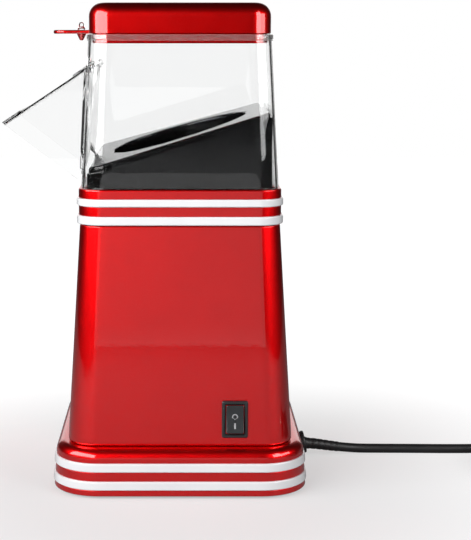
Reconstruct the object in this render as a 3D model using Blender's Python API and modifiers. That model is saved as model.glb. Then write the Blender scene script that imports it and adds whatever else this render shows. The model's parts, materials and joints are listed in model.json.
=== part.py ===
"""Hot-air popcorn maker: a red plinth and tapered body, a clear hood with an awning flap, a measuring cap,
the blower and heater inside, and the mains lead with its plug.

The machine stands on z = 0 with its outlet towards -X and its mains lead towards +X. Everything is placed
from the machine's own vertical axis, and the whole assembly is then carried by one empty, so that the world
origin lies under the middle of its outline.
"""
import math

import bmesh
import bpy
from mathutils import Matrix, Vector

# ---- general ----
GAP = 0.0003                 # clearance kept between pieces that touch
OBJECT_NAME = "popcorn_maker"
AXIS_X = 0.013971            # the machine's axis, from the middle of the outline
CORNER_STEPS = 5             # straight steps in each rounded corner of a square ring

# ---- plinth ----
FOOT_HEIGHT = 0.0017
FOOT_RADIUS = 0.0065
FOOT_PLACE = 0.056
BASE_BOTTOM = 0.0015
BASE_TOP = 0.0295
BASE_HALF = 0.0765           # half width at the bottom
BASE_CORNER = 0.028
BASE_TAPER = 0.07            # loss of half width per unit of height
BASE_EDGE = 0.006            # radius of the top edge
BASE_WALL = 0.0025
BASE_HOLE_HALF = 0.062
BAND_PROUD = 0.0008
BAND_GROOVE = 0.0012
BASE_BANDS = {"base_band_lower": (0.0052, 0.0107), "base_band_upper": (0.0160, 0.0215)}
COVER_BOTTOM = 0.0020
COVER_TOP = 0.0045

# ---- body and collar ----
BODY_BOTTOM = 0.0298
BODY_TOP = 0.1610
BODY_HALF = 0.0676           # half width at the bottom
BODY_TAPER = 0.0621
BODY_CORNER = 0.017          # corner radius at the bottom
BODY_CORNER_TAPER = 0.024
BODY_WALL = 0.0022
COLLAR_BOTTOM = 0.1613
COLLAR_TOP = 0.1822
COLLAR_HALF = 0.0600
COLLAR_CORNER = 0.0140
COLLAR_BORE = 0.0575
COLLAR_SEAT_HALF = 0.0562
COLLAR_BANDS = {"collar_band_lower": (0.1612, 0.1665), "collar_band_upper": (0.1720, 0.1767)}

# ---- hood, flap and cap ----
HOOD_BOTTOM = 0.1825
HOOD_TOP = 0.2717
HOOD_HALF = 0.0584           # half width at the bottom
HOOD_TAPER = 0.0540
HOOD_CORNER = 0.0135
HOOD_WALL = 0.0020
OUTLET_HALF = 0.0450
OUTLET_BOTTOM = 0.1870
OUTLET_TOP = 0.2558
HINGE_X = -0.0514
HINGE_Z = 0.2529
FLAP_OPEN_DEG = 33.4         # the open panel's slope below level
FLAP_LENGTH = 0.0632
FLAP_HALF = 0.0440
FLAP_THICK = 0.0018
FLAP_FACE = 0.0014           # from the hinge axis to the panel's outer face
WING_REACH = 0.0672
WING_DEG = 6.3               # the wing's rear edge, from straight down towards the front
PIN_RADIUS = 0.0010
CAP_BOTTOM = 0.2720
CAP_TOP = 0.2900
CAP_HALF = 0.0533
CAP_CORNER = 0.0125
CAP_EDGE = 0.0080
CAP_WALL = 0.0020
CAP_SKIRT_BOTTOM = 0.2665
HANDLE_TIP_X = -0.0772
HANDLE_END_X = -0.0536
HANDLE_Z = 0.2731
HANDLE_THICK = 0.0023
HANDLE_HALF = 0.0110
GRIP_X = -0.0604

# ---- chute insert ----
CHUTE_BOTTOM = 0.1765
CHUTE_HALF = 0.0553
CHUTE_CORNER = 0.0115
CHUTE_SLOPE_DEG = 17.2
CHUTE_MID_Z = 0.2105         # height of the sloped face over the machine's axis
CHUTE_WALL = 0.0020
MOUTH_RADIUS = 0.0405

# ---- blower, heater and chamber ----
PLATE_Z = 0.0620
MOTOR_RADIUS = 0.0180
SHAFT_RADIUS = 0.0016
IMPELLER_RADIUS = 0.0340
FAN_HOUSING_RADIUS = 0.0480
JACKET_RADIUS = 0.0470
JACKET_BOTTOM = 0.0865
JACKET_TOP = 0.1755
CHAMBER_RADIUS = 0.0390
CHAMBER_BOTTOM = 0.1160
CHAMBER_TOP = 0.1762
LOUVRE_COUNT = 12
COIL_RADIUS = 0.0290
COIL_TURNS = 4
POST_PLACE = 0.0385
SUPPORT_Z = 0.1500

# ---- switch ----
SWITCH_X = 0.0326
SWITCH_Z = 0.0463
BEZEL_WIDTH = 0.0155
BEZEL_HEIGHT = 0.0222
BEZEL_THICK = 0.0018
SWITCH_BODY_WIDTH = 0.0130
SWITCH_BODY_HEIGHT = 0.0192
SWITCH_BODY_DEPTH = 0.0150
ROCKER_WIDTH = 0.0104
ROCKER_HEIGHT = 0.0166
ROCKER_TILT_DEG = 8.0        # the resting tilt, with the O half pressed in

# ---- mains lead ----
CORD_DIAMETER = 0.0060
RELIEF_CENTRE = Vector((0.0791, 0.0100, 0.0098))
RELIEF_TILT_DEG = 16.0
RELIEF_FLANGE_RADIUS = 0.0072
RELIEF_BOSS_RADIUS = 0.0050
# the lead's route after the sleeve, on the table at the height of its own radius
RELIEF_SLEEVE = [(0.0800, 0.0100, 0.0090), (0.0880, 0.0110, 0.0082), (0.0960, 0.0125, 0.0067),
                 (0.1040, 0.0140, 0.0053)]
CORD_ROUTE = [(0.1043, 0.01406, 0.00525), (0.1100, 0.0152, 0.0044), (0.1180, 0.0166, 0.0035),
              (0.1300, 0.0175, 0.0031), (0.1450, 0.0176, 0.0030), (0.1600, 0.0173, 0.0030),
              (0.1750, 0.0170, 0.0030), (0.1930, 0.0170, 0.0030), (0.2115, 0.0170, 0.0030)]
COIL_CENTRE = (0.2330, -0.0190)
COIL_MIDDLE_RADIUS = 0.0330
COIL_LIFT = 0.0009           # the coil rests on the strap of its tie
TAIL_ROUTE = [(0.2692, -0.0404, 0.0099), (0.2693, -0.0445, 0.0101), (0.2693, -0.0488, 0.0106),
              (0.2692, -0.0529, 0.0110)]
PLUG_X = 0.2692
PLUG_TAIL_Y = -0.0535
PLUG_Z = 0.0110
PLUG_TAIL_LENGTH = 0.0120
PLUG_LENGTH = 0.0360
PLUG_WIDTH = 0.0340
PLUG_HEIGHT = 0.0210
PLUG_PIN_SPACING = 0.0190
PLUG_PIN_LENGTH = 0.0190
PLUG_PIN_RADIUS = 0.0024

# ---- finishes: colour, roughness, metallic, transmission ----
FINISHES = {
    "red_paint": ((0.55, 0.006, 0.016), 0.22, 0.6, 0.0),
    "white_gloss": ((0.86, 0.87, 0.88), 0.25, 0.0, 0.0),
    "red_gloss": ((0.42, 0.004, 0.010), 0.18, 0.2, 0.0),
    "clear_plastic": ((0.95, 0.96, 0.96), 0.05, 0.0, 0.9),
    "black_plastic": ((0.014, 0.015, 0.016), 0.35, 0.0, 0.0),
    "black_rubber": ((0.012, 0.012, 0.013), 0.6, 0.0, 0.0),
    "aluminium": ((0.77, 0.78, 0.79), 0.3, 1.0, 0.0),
    "steel": ((0.60, 0.60, 0.61), 0.35, 1.0, 0.0),
    "brass": ((0.72, 0.55, 0.28), 0.3, 1.0, 0.0),
    "mica": ((0.55, 0.50, 0.42), 0.6, 0.0, 0.0),
    "circuit_board": ((0.03, 0.16, 0.07), 0.5, 0.0, 0.0),
}


def start_scene():
    """Empty the scene and make the two collections and the empty that carries the machine."""
    for item in list(bpy.data.objects):
        bpy.data.objects.remove(item, do_unlink=True)
    groups = []
    for title in (OBJECT_NAME, "cutters"):
        group = bpy.data.collections.new(title)
        bpy.context.scene.collection.children.link(group)
        groups.append(group)
    carrier = bpy.data.objects.new(OBJECT_NAME + "_axis", None)
    carrier.location = (AXIS_X, 0.0, 0.0)
    groups[0].objects.link(carrier)
    return groups[0], groups[1], carrier


PARTS, CUTTERS, CARRIER = start_scene()
MATERIALS = {}


def finish_material(finish):
    """The Principled material of one finish, made once."""
    if finish not in MATERIALS:
        colour, roughness, metallic, transmission = FINISHES[finish]
        material = bpy.data.materials.new(finish)
        material.use_nodes = True
        shader = material.node_tree.nodes["Principled BSDF"]
        shader.inputs["Base Color"].default_value = (*colour, 1.0)
        shader.inputs["Roughness"].default_value = roughness
        shader.inputs["Metallic"].default_value = metallic
        shader.inputs["Transmission Weight"].default_value = transmission
        MATERIALS[finish] = material
    return MATERIALS[finish]


def place(name, mesh, finish, parent=None):
    """Put a mesh in the scene as a piece, or as a cutter when its finish is None."""
    piece = bpy.data.objects.new(name, mesh)
    piece.parent = parent or CARRIER
    if finish is None:
        CUTTERS.objects.link(piece)
        piece.hide_render = True
        piece.display_type = "WIRE"
    else:
        PARTS.objects.link(piece)
        mesh.materials.clear()
        mesh.materials.append(finish_material(finish))
    return piece


def round_shading(mesh, degrees=35.0):
    """Smooth shading, with edges steeper than the given angle left sharp."""
    mesh.shade_smooth()
    mesh.set_sharp_from_angle(angle=math.radians(degrees))


def mesh_from(bm, name, smooth=True):
    """Finish a bmesh: faces outward, then into a mesh."""
    bmesh.ops.recalc_face_normals(bm, faces=bm.faces)
    mesh = bpy.data.meshes.new(name)
    bm.to_mesh(mesh)
    bm.free()
    if smooth:
        round_shading(mesh)
    return mesh


# ---- shape makers ----
def square_ring(half, corner, height):
    """A square with rounded corners at one height, anticlockwise from above."""
    points = []
    for quarter in range(4):
        middle = Matrix.Rotation(math.pi / 2 * quarter, 2) @ Vector((half - corner, half - corner))
        for step in range(CORNER_STEPS + 1):
            angle = math.pi / 2 * (quarter + step / CORNER_STEPS)
            points.append((middle.x + corner * math.cos(angle), middle.y + corner * math.sin(angle), height))
    return points


def loft(name, sections, finish, closed=True):
    """A body of square sections (half width, corner radius, height) joined one to the next.

    A closed loft joins its last section to its first, which makes a ring; an open one is capped at both ends.
    """
    bm = bmesh.new()
    rings = [[bm.verts.new(point) for point in square_ring(*section)] for section in sections]
    following = rings[1:] + rings[:1] if closed else rings[1:]
    for ring, nearby in zip(rings, following):
        for index in range(len(ring)):
            bm.faces.new((ring[index - 1], ring[index], nearby[index], nearby[index - 1]))
    if not closed:
        bm.faces.new(rings[0])
        bm.faces.new(rings[-1])
    return place(name, mesh_from(bm, name), finish)


def turned(name, profile, finish, parent=None, steps=28, ring=False):
    """A profile of (radius, height) points, from its outer top downwards, turned about the Z axis."""
    mesh = bpy.data.meshes.new(name)
    edges = [(index, index + 1) for index in range(len(profile) - 1)]
    if ring:
        edges.append((len(profile) - 1, 0))
    mesh.from_pydata([(radius, 0.0, height) for radius, height in profile], edges, [])
    piece = place(name, mesh, finish, parent)
    screw = piece.modifiers.new("turn", "SCREW")
    screw.axis = "Z"
    screw.steps = screw.render_steps = steps
    screw.use_merge_vertices = True
    screw.merge_threshold = 0.00001
    screw.use_smooth_shade = True
    return piece


def cylinder(name, radius, depth, centre, finish, axis="Z", sides=24, parent=None):
    """A plain round bar along X, Y or Z."""
    quarter = math.pi / 2
    turns = {"X": Matrix.Rotation(quarter, 4, "Y"), "Y": Matrix.Rotation(quarter, 4, "X"), "Z": Matrix()}
    bm = bmesh.new()
    bmesh.ops.create_cone(bm, cap_ends=True, segments=sides, radius1=radius, radius2=radius, depth=depth,
                          matrix=turns[axis])
    piece = place(name, mesh_from(bm, name), finish, parent)
    piece.location = centre
    return piece


def box(name, size, centre, finish, edge=0.0, parent=None):
    """A box with its edges rounded."""
    bm = bmesh.new()
    bmesh.ops.create_cube(bm, size=1.0, matrix=Matrix.Diagonal((*size, 1.0)))
    piece = place(name, mesh_from(bm, name, smooth=False), finish, parent)
    piece.location = centre
    if edge:
        bevel = piece.modifiers.new("edges", "BEVEL")
        bevel.width = edge
        bevel.segments = 3
    return piece


def curve_as_mesh(curve, name, finish, matrix, parent=None):
    """Turn a curve into a welded mesh and put it in the scene as a piece."""
    holder = bpy.data.objects.new(name + "_curve", curve)
    bpy.context.scene.collection.objects.link(holder)
    evaluated = holder.evaluated_get(bpy.context.evaluated_depsgraph_get())
    bm = bmesh.new()
    bm.from_mesh(bpy.data.meshes.new_from_object(evaluated))
    bmesh.ops.remove_doubles(bm, verts=bm.verts, dist=0.000002)
    mesh = mesh_from(bm, name)
    bpy.data.objects.remove(holder, do_unlink=True)
    bpy.data.curves.remove(curve)
    piece = place(name, mesh, finish, parent)
    piece.matrix_local = matrix
    return piece


def extruded(name, outline, thickness, finish, matrix=None, parent=None):
    """A flat outline given as (x, y) points, with half its thickness on each side of its plane."""
    curve = bpy.data.curves.new(name, "CURVE")
    curve.dimensions = "2D"
    curve.fill_mode = "BOTH"
    curve.extrude = thickness / 2
    spline = curve.splines.new("POLY")
    spline.points.add(len(outline) - 1)
    for point, (x, y) in zip(spline.points, outline):
        point.co = (x, y, 0.0, 1.0)
    spline.use_cyclic_u = True
    return curve_as_mesh(curve, name, finish, matrix or Matrix(), parent)


def tube(name, points, diameters, finish, sides_level=2, parent=None):
    """A round wire through the points, with one diameter or one for each point."""
    curve = bpy.data.curves.new(name, "CURVE")
    curve.dimensions = "3D"
    curve.bevel_depth = 1.0
    curve.bevel_resolution = sides_level
    curve.use_fill_caps = True
    spline = curve.splines.new("POLY")
    spline.points.add(len(points) - 1)
    if isinstance(diameters, float):
        diameters = [diameters] * len(points)
    for point, where, diameter in zip(spline.points, points, diameters):
        point.co = (*where, 1.0)
        point.radius = diameter / 2
    return curve_as_mesh(curve, name, finish, Matrix(), parent)


def smooth_path(route, spacing):
    """Points a given distance apart on one smooth curve through the route (Catmull-Rom)."""
    knots = [Vector(point) for point in route]
    ends = [2 * knots[0] - knots[1], *knots, 2 * knots[-1] - knots[-2]]
    path = []
    for before, start, stop, after in zip(ends, ends[1:], ends[2:], ends[3:]):
        pieces = max(1, round((stop - start).length / spacing))
        for step in range(pieces):
            t = step / pieces
            path.append(0.5 * (2 * start + (stop - before) * t
                               + (2 * before - 5 * start + 4 * stop - after) * t ** 2
                               + (3 * start - before - 3 * stop + after) * t ** 3))
    return path + [knots[-1]]


def boolean(piece, tool, operation):
    """Cut a piece with a tool, or join the tool to it."""
    step = piece.modifiers.new(operation.lower() + "_" + tool.name, "BOOLEAN")
    step.operation = operation
    step.solver = "EXACT"
    step.object = tool
    return piece


def cut(piece, *tools):
    """Take each tool's shape out of the piece."""
    for tool in tools:
        boolean(piece, tool, "DIFFERENCE")
    return piece


def weld(piece, *tools):
    """Join each tool's shape to the piece."""
    for tool in tools:
        boolean(piece, tool, "UNION")
    return piece


def arc(centre, radius, start_deg, stop_deg, steps):
    """Points on a circular arc."""
    angles = [math.radians(start_deg + (stop_deg - start_deg) * step / steps) for step in range(steps + 1)]
    return [(centre[0] + radius * math.cos(angle), centre[1] + radius * math.sin(angle)) for angle in angles]


# ---- plinth ----
def base_half(height):
    """Half the plinth's width at a height."""
    return BASE_HALF - BASE_TAPER * (height - BASE_BOTTOM)


def base_corner(height):
    """The plinth's corner radius at a height."""
    return BASE_CORNER - BASE_TAPER * (height - BASE_BOTTOM)


def base_section(height, inset=0.0):
    """A section of the plinth, moved in from its outer face."""
    return (base_half(height) - inset, base_corner(height) - inset, height)


def band(name, low, high, section, proud, depth):
    """A white band that fills a groove and stands a little proud of it."""
    edge = 0.0004
    inner = depth - GAP
    low += GAP
    high -= GAP
    sections = [section(low, inner), section(low, edge - proud), section(low + edge, -proud),
                section(high - edge, -proud), section(high, edge - proud), section(high, inner)]
    return loft(name, sections, "white_gloss")


def build_plinth():
    """Base shell with its two bands, the underside plate, feet and screws."""
    outside = [base_section(BASE_BOTTOM, 0.0006), base_section(BASE_BOTTOM + 0.0006)]
    for low, high in BASE_BANDS.values():
        outside += [base_section(low), base_section(low, BAND_GROOVE), base_section(high, BAND_GROOVE),
                    base_section(high)]
    shoulder = BASE_TOP - BASE_EDGE
    for step in range(5):
        angle = math.pi / 2 * step / 4
        outside.append((base_half(shoulder) - BASE_EDGE * (1 - math.cos(angle)),
                        base_corner(shoulder) - BASE_EDGE * (1 - math.cos(angle)),
                        shoulder + BASE_EDGE * math.sin(angle)))
    hole_corner = 0.014
    ceiling = BASE_TOP - BASE_WALL
    inside = [(BASE_HOLE_HALF, hole_corner, BASE_TOP), (BASE_HOLE_HALF, hole_corner, ceiling),
              base_section(ceiling, BASE_WALL + BASE_EDGE), base_section(shoulder, BASE_WALL + 0.0004),
              base_section(BASE_BOTTOM, BASE_WALL)]
    shell = loft("base_shell", outside + inside, "red_paint")
    gland_hole = cylinder("cut_gland_hole", RELIEF_BOSS_RADIUS + GAP, 0.02,
                          (base_half(RELIEF_CENTRE.z), RELIEF_CENTRE.y, RELIEF_CENTRE.z), None, axis="X")
    cut(shell, gland_hole)
    for name, (low, high) in BASE_BANDS.items():
        ring = band(name, low, high, base_section, BAND_PROUD, BAND_GROOVE)
        if low < RELIEF_CENTRE.z:
            cut(ring, gland_hole)
    build_underside()


def build_underside():
    """The plate that closes the plinth, its air slots, feet, screws and standoffs."""
    inset = BASE_WALL + GAP
    cover = loft("bottom_cover", [base_section(COVER_BOTTOM, inset), base_section(COVER_TOP, inset)],
                 "black_plastic", closed=False)
    slots = bmesh.new()
    for row in range(-3, 4):
        bmesh.ops.create_cube(slots, size=1.0, matrix=Matrix.Translation((0.0, row * 0.008, COVER_BOTTOM))
                              @ Matrix.Diagonal((0.052, 0.0032, 0.02, 1.0)))
    cut(cover, place("cut_air_slots", mesh_from(slots, "cut_air_slots", smooth=False), None))
    corners = [(1, 1), (-1, 1), (-1, -1), (1, -1)]
    for number, (side_x, side_y) in enumerate(corners, start=1):
        foot = [(FOOT_RADIUS - 0.0006, FOOT_HEIGHT), (FOOT_RADIUS, FOOT_HEIGHT - 0.0004),
                (FOOT_RADIUS - 0.0008, 0.0), (0.0, 0.0)]
        piece = turned(f"foot_{number}", [(0.0, FOOT_HEIGHT), *foot], "black_rubber", steps=16)
        piece.location = (side_x * FOOT_PLACE, side_y * FOOT_PLACE, 0.0)
        build_post(number, side_x * POST_PLACE, side_y * POST_PLACE, cover)


def build_post(number, x, y, cover):
    """A standoff between the underside plate and the motor plate, and the screw that holds it."""
    shank, head, top = 0.0015, 0.0030, 0.0110
    cutter = cylinder(f"cut_screw_hole_{number}", shank + GAP, 0.012, (x, y, COVER_BOTTOM), None, sides=12)
    cut(cover, cutter)
    screw = turned(f"cover_screw_{number}", [(0.0, top), (shank, top), (shank, 0.0017), (head, 0.0017),
                                             (head, 0.0010), (head - 0.0008, 0.0005), (0.0, 0.0005)],
                   "steel", steps=12)
    screw.location = (x, y, 0.0)
    low, high = COVER_TOP + GAP, PLATE_Z - GAP
    bore = shank + GAP
    post = turned(f"standoff_{number}", [(0.0, high), (0.0035, high), (0.0035, low), (bore, low),
                                         (bore, top + 0.001), (0.0, top + 0.001)], "steel", steps=12)
    post.location = (x, y, 0.0)


# ---- body and collar ----
def body_half(height):
    """Half the body's width at a height."""
    return BODY_HALF - BODY_TAPER * (height - BODY_BOTTOM)


def body_section(height, inset=0.0):
    """A section of the body, moved in from its outer face."""
    corner = BODY_CORNER - BODY_CORNER_TAPER * (height - BODY_BOTTOM)
    return (body_half(height) - inset, corner - inset, height)


def collar_section(height, inset=0.0):
    """A section of the collar, moved in from its outer face."""
    return (COLLAR_HALF - inset, COLLAR_CORNER - inset, height)


def build_body(switch_frame):
    """The tapered body with its inner neck, and the collar with its two bands."""
    neck = COLLAR_BORE - 0.0004
    neck_top = COLLAR_BOTTOM + 0.0045
    sections = [body_section(BODY_BOTTOM, 0.0014), body_section(BODY_BOTTOM + 0.0005, 0.0004),
                body_section(BODY_BOTTOM + 0.0017), body_section(BODY_TOP - 0.0006),
                body_section(BODY_TOP, 0.0006), (neck, 0.0115, BODY_TOP), (neck, 0.0115, neck_top),
                (neck - 0.0018, 0.0097, neck_top), (neck - 0.0018, 0.0097, BODY_TOP - 0.004),
                body_section(BODY_TOP - 0.006, BODY_WALL), body_section(BODY_BOTTOM, BODY_WALL)]
    body = loft("body_shell", sections, "red_paint")
    opening = box("cut_switch_opening", (SWITCH_BODY_WIDTH + 2 * GAP, 0.02, SWITCH_BODY_HEIGHT + 2 * GAP),
                  (0.0, 0.0, 0.0), None, parent=switch_frame)
    cut(body, opening)

    low_groove, high_groove = COLLAR_BANDS.values()
    groove = 0.0012
    rim = 0.0009
    collar = [collar_section(COLLAR_BOTTOM, groove), collar_section(low_groove[1], groove),
              collar_section(low_groove[1]), collar_section(high_groove[0]),
              collar_section(high_groove[0], groove), collar_section(high_groove[1], groove),
              collar_section(high_groove[1]), collar_section(COLLAR_TOP - rim),
              collar_section(COLLAR_TOP - 0.3 * rim, 0.3 * rim), collar_section(COLLAR_TOP, rim),
              (COLLAR_SEAT_HALF, 0.0112, COLLAR_TOP), (COLLAR_SEAT_HALF, 0.0112, neck_top + 0.004),
              (COLLAR_BORE, 0.0120, neck_top + 0.002), (COLLAR_BORE, 0.0120, COLLAR_BOTTOM)]
    loft("collar_ring", collar, "red_paint")
    for name, (low, high) in COLLAR_BANDS.items():
        band(name, low, high, collar_section, 0.0012, groove)


# ---- hood, flap, cap ----
def hood_half(height):
    """Half the hood's width at a height."""
    return HOOD_HALF - HOOD_TAPER * (height - HOOD_BOTTOM)


def hood_section(height, inset=0.0):
    """A section of the hood, moved in from its outer face."""
    return (hood_half(height) - inset, HOOD_CORNER - 0.012 * (height - HOOD_BOTTOM) - inset, height)


def build_hood():
    """The clear hood with its outlet, and a lug with a pin at each top corner of the outlet."""
    rim = 0.0006
    sections = [hood_section(HOOD_BOTTOM), hood_section(HOOD_TOP - rim), hood_section(HOOD_TOP, rim),
                hood_section(HOOD_TOP, HOOD_WALL), hood_section(HOOD_BOTTOM, HOOD_WALL)]
    hood = loft("clear_hood", sections, "clear_plastic")
    outlet = box("cut_outlet", (0.024, 2 * OUTLET_HALF, OUTLET_TOP - OUTLET_BOTTOM),
                 (-0.0560, 0.0, (OUTLET_TOP + OUTLET_BOTTOM) / 2), None, edge=0.003)
    cut(hood, outlet)
    lug_inner, lug_outer = OUTLET_HALF + 0.0002, 0.0482
    for name, side in (("near", -1), ("far", 1)):
        middle = side * (lug_inner + lug_outer) / 2
        lug = box(f"cut_hinge_lug_{name}", (0.0040, lug_outer - lug_inner, 0.0064),
                  (HINGE_X + 0.0006, middle, HINGE_Z), None)
        weld(hood, lug)
        hole = cylinder(f"cut_pin_hole_{name}", PIN_RADIUS + GAP, 0.0100, (HINGE_X, side * 0.0428, HINGE_Z),
                        None, axis="Y", sides=16)
        cut(hood, hole)
        cylinder(f"flap_pin_{name}", PIN_RADIUS, 0.0060, (HINGE_X, side * 0.0445, HINGE_Z), "steel",
                 axis="Y", sides=16)


def build_flap():
    """The awning flap: a bent sheet of a front panel and two side wings, turning about its top edge."""
    slope = math.radians(FLAP_OPEN_DEG)
    along = Vector((-math.cos(slope), 0.0, -math.sin(slope)))
    outward = Vector((-math.sin(slope), 0.0, math.cos(slope)))
    top = outward * FLAP_FACE - along * 0.0020
    tip = outward * FLAP_FACE + along * FLAP_LENGTH
    lean = math.radians(WING_DEG)
    down = Vector((-math.sin(lean), 0.0, -math.cos(lean)))
    corner = down * WING_REACH
    to_tip = (tip - corner).normalized()
    rounding = 0.0030
    wing = [top, tip, corner + to_tip * rounding, corner + (to_tip - down) * rounding * 0.30,
            corner - down * rounding, Vector((0.0017, 0.0, -0.0022)), Vector((0.0019, 0.0, 0.0011))]
    bm = bmesh.new()
    sides = []
    for side in (-1, 1):
        sides.append([bm.verts.new(point + Vector((0.0, side * FLAP_HALF, 0.0))) for point in wing])
    near, far = sides
    panel = bm.faces.new((near[0], near[1], far[1], far[0]))
    bm.faces.new(near[::-1])
    bm.faces.new(far)
    bmesh.ops.recalc_face_normals(bm, faces=bm.faces)
    if panel.normal.dot(outward) < 0.0:
        bmesh.ops.reverse_faces(bm, faces=bm.faces)
    mesh = bpy.data.meshes.new("outlet_flap")
    bm.to_mesh(mesh)
    bm.free()
    flap = place("outlet_flap", mesh, "clear_plastic")
    flap.location = (HINGE_X, 0.0, HINGE_Z)
    sheet = flap.modifiers.new("sheet", "SOLIDIFY")
    sheet.thickness = FLAP_THICK
    sheet.offset = -1.0
    sheet.use_even_offset = True
    hole = cylinder("cut_flap_pin", PIN_RADIUS + GAP, 0.12, (HINGE_X, 0.0, HINGE_Z), None, axis="Y", sides=16)
    cut(flap, hole)


def build_cap():
    """The measuring cap: a hollow cup with a skirt that enters the hood, its handle and the pip on it."""
    skirt = hood_half(CAP_SKIRT_BOTTOM) - HOOD_WALL - 0.0005 - 0.0002
    inner = skirt - 0.0018
    corner = 0.0098
    sections = [(inner - 0.004, corner - 0.006, CAP_TOP - CAP_WALL),
                (inner, corner - 0.0018, CAP_TOP - 0.006),
                (inner, corner - 0.0018, CAP_SKIRT_BOTTOM), (skirt, corner, CAP_SKIRT_BOTTOM),
                (skirt, corner, CAP_BOTTOM), (CAP_HALF - 0.0004, CAP_CORNER - 0.0004, CAP_BOTTOM),
                (CAP_HALF, CAP_CORNER, CAP_BOTTOM + 0.0004)]
    for step in range(6):
        angle = math.pi / 2 * step / 5
        shrink = CAP_EDGE * (1 - math.cos(angle))
        sections.append((CAP_HALF - shrink, CAP_CORNER - shrink, CAP_TOP - CAP_EDGE * (1 - math.sin(angle))))
    loft("measuring_cap", sections, "red_gloss", closed=False)

    tip_radius = 0.0070
    tip = HANDLE_TIP_X + tip_radius
    outline = arc((tip, -HANDLE_HALF + tip_radius), tip_radius, 270, 180, 5)
    outline += arc((tip, HANDLE_HALF - tip_radius), tip_radius, 180, 90, 5)
    outline += [(HANDLE_END_X, HANDLE_HALF), (HANDLE_END_X, -HANDLE_HALF)]
    level = Matrix.Translation((0.0, 0.0, HANDLE_Z))
    handle = extruded("cap_handle", outline, HANDLE_THICK, "red_gloss", level)
    under = turned("cut_handle_boss", [(0.0, 0.0), (0.0036, 0.0), (0.0031, -0.0020), (0.0020, -0.0046),
                                       (0.0010, -0.0052), (0.0, -0.0052)], None, steps=20)
    under.location = (GRIP_X, 0.0, HANDLE_Z)
    weld(handle, under)
    base = HANDLE_Z + HANDLE_THICK / 2 + GAP
    grip = turned("cap_grip", [(0.0, 0.0046), (0.0011, 0.0044), (0.0019, 0.0034), (0.0030, 0.0),
                               (0.0, 0.0)], "clear_plastic", steps=20)
    grip.location = (GRIP_X, 0.0, base)


def build_chute():
    """The black insert: a square tube with a sloped top and a round mouth over the popping chamber."""
    def section(height, inset=0.0):
        half = min(CHUTE_HALF, hood_half(height) - HOOD_WALL - 0.0006)
        return (half - inset, CHUTE_CORNER - inset, height)

    def above_slope(name, drop):
        block = box(name, (0.3, 0.3, 0.1), (0.0, 0.0, 0.0), None)
        turn = Matrix.Rotation(-math.radians(CHUTE_SLOPE_DEG), 4, "Y")
        block.matrix_local = (Matrix.Translation((0.0, 0.0, CHUTE_MID_Z - drop)) @ turn
                              @ Matrix.Translation((0.0, 0.0, 0.05)))
        return block

    heights = (CHUTE_BOTTOM, 0.1850, 0.2450)
    insert = loft("chute_insert", [section(height) for height in heights], "black_plastic", closed=False)
    hollow = loft("cut_chute_hollow", [section(CHUTE_BOTTOM - 0.002, CHUTE_WALL),
                                       *[section(height, CHUTE_WALL) for height in heights[1:]]],
                  None, closed=False)
    tower = cylinder("cut_mouth_wall", MOUTH_RADIUS + CHUTE_WALL, 0.2, (0.0, 0.0, 0.2), None, sides=40)
    cut(hollow, above_slope("cut_slope_inner", CHUTE_WALL * 1.05), tower)
    mouth = cylinder("cut_mouth", MOUTH_RADIUS, 0.2, (0.0, 0.0, 0.2), None, sides=40)
    cut(insert, above_slope("cut_slope", 0.0), hollow, mouth)


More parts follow.
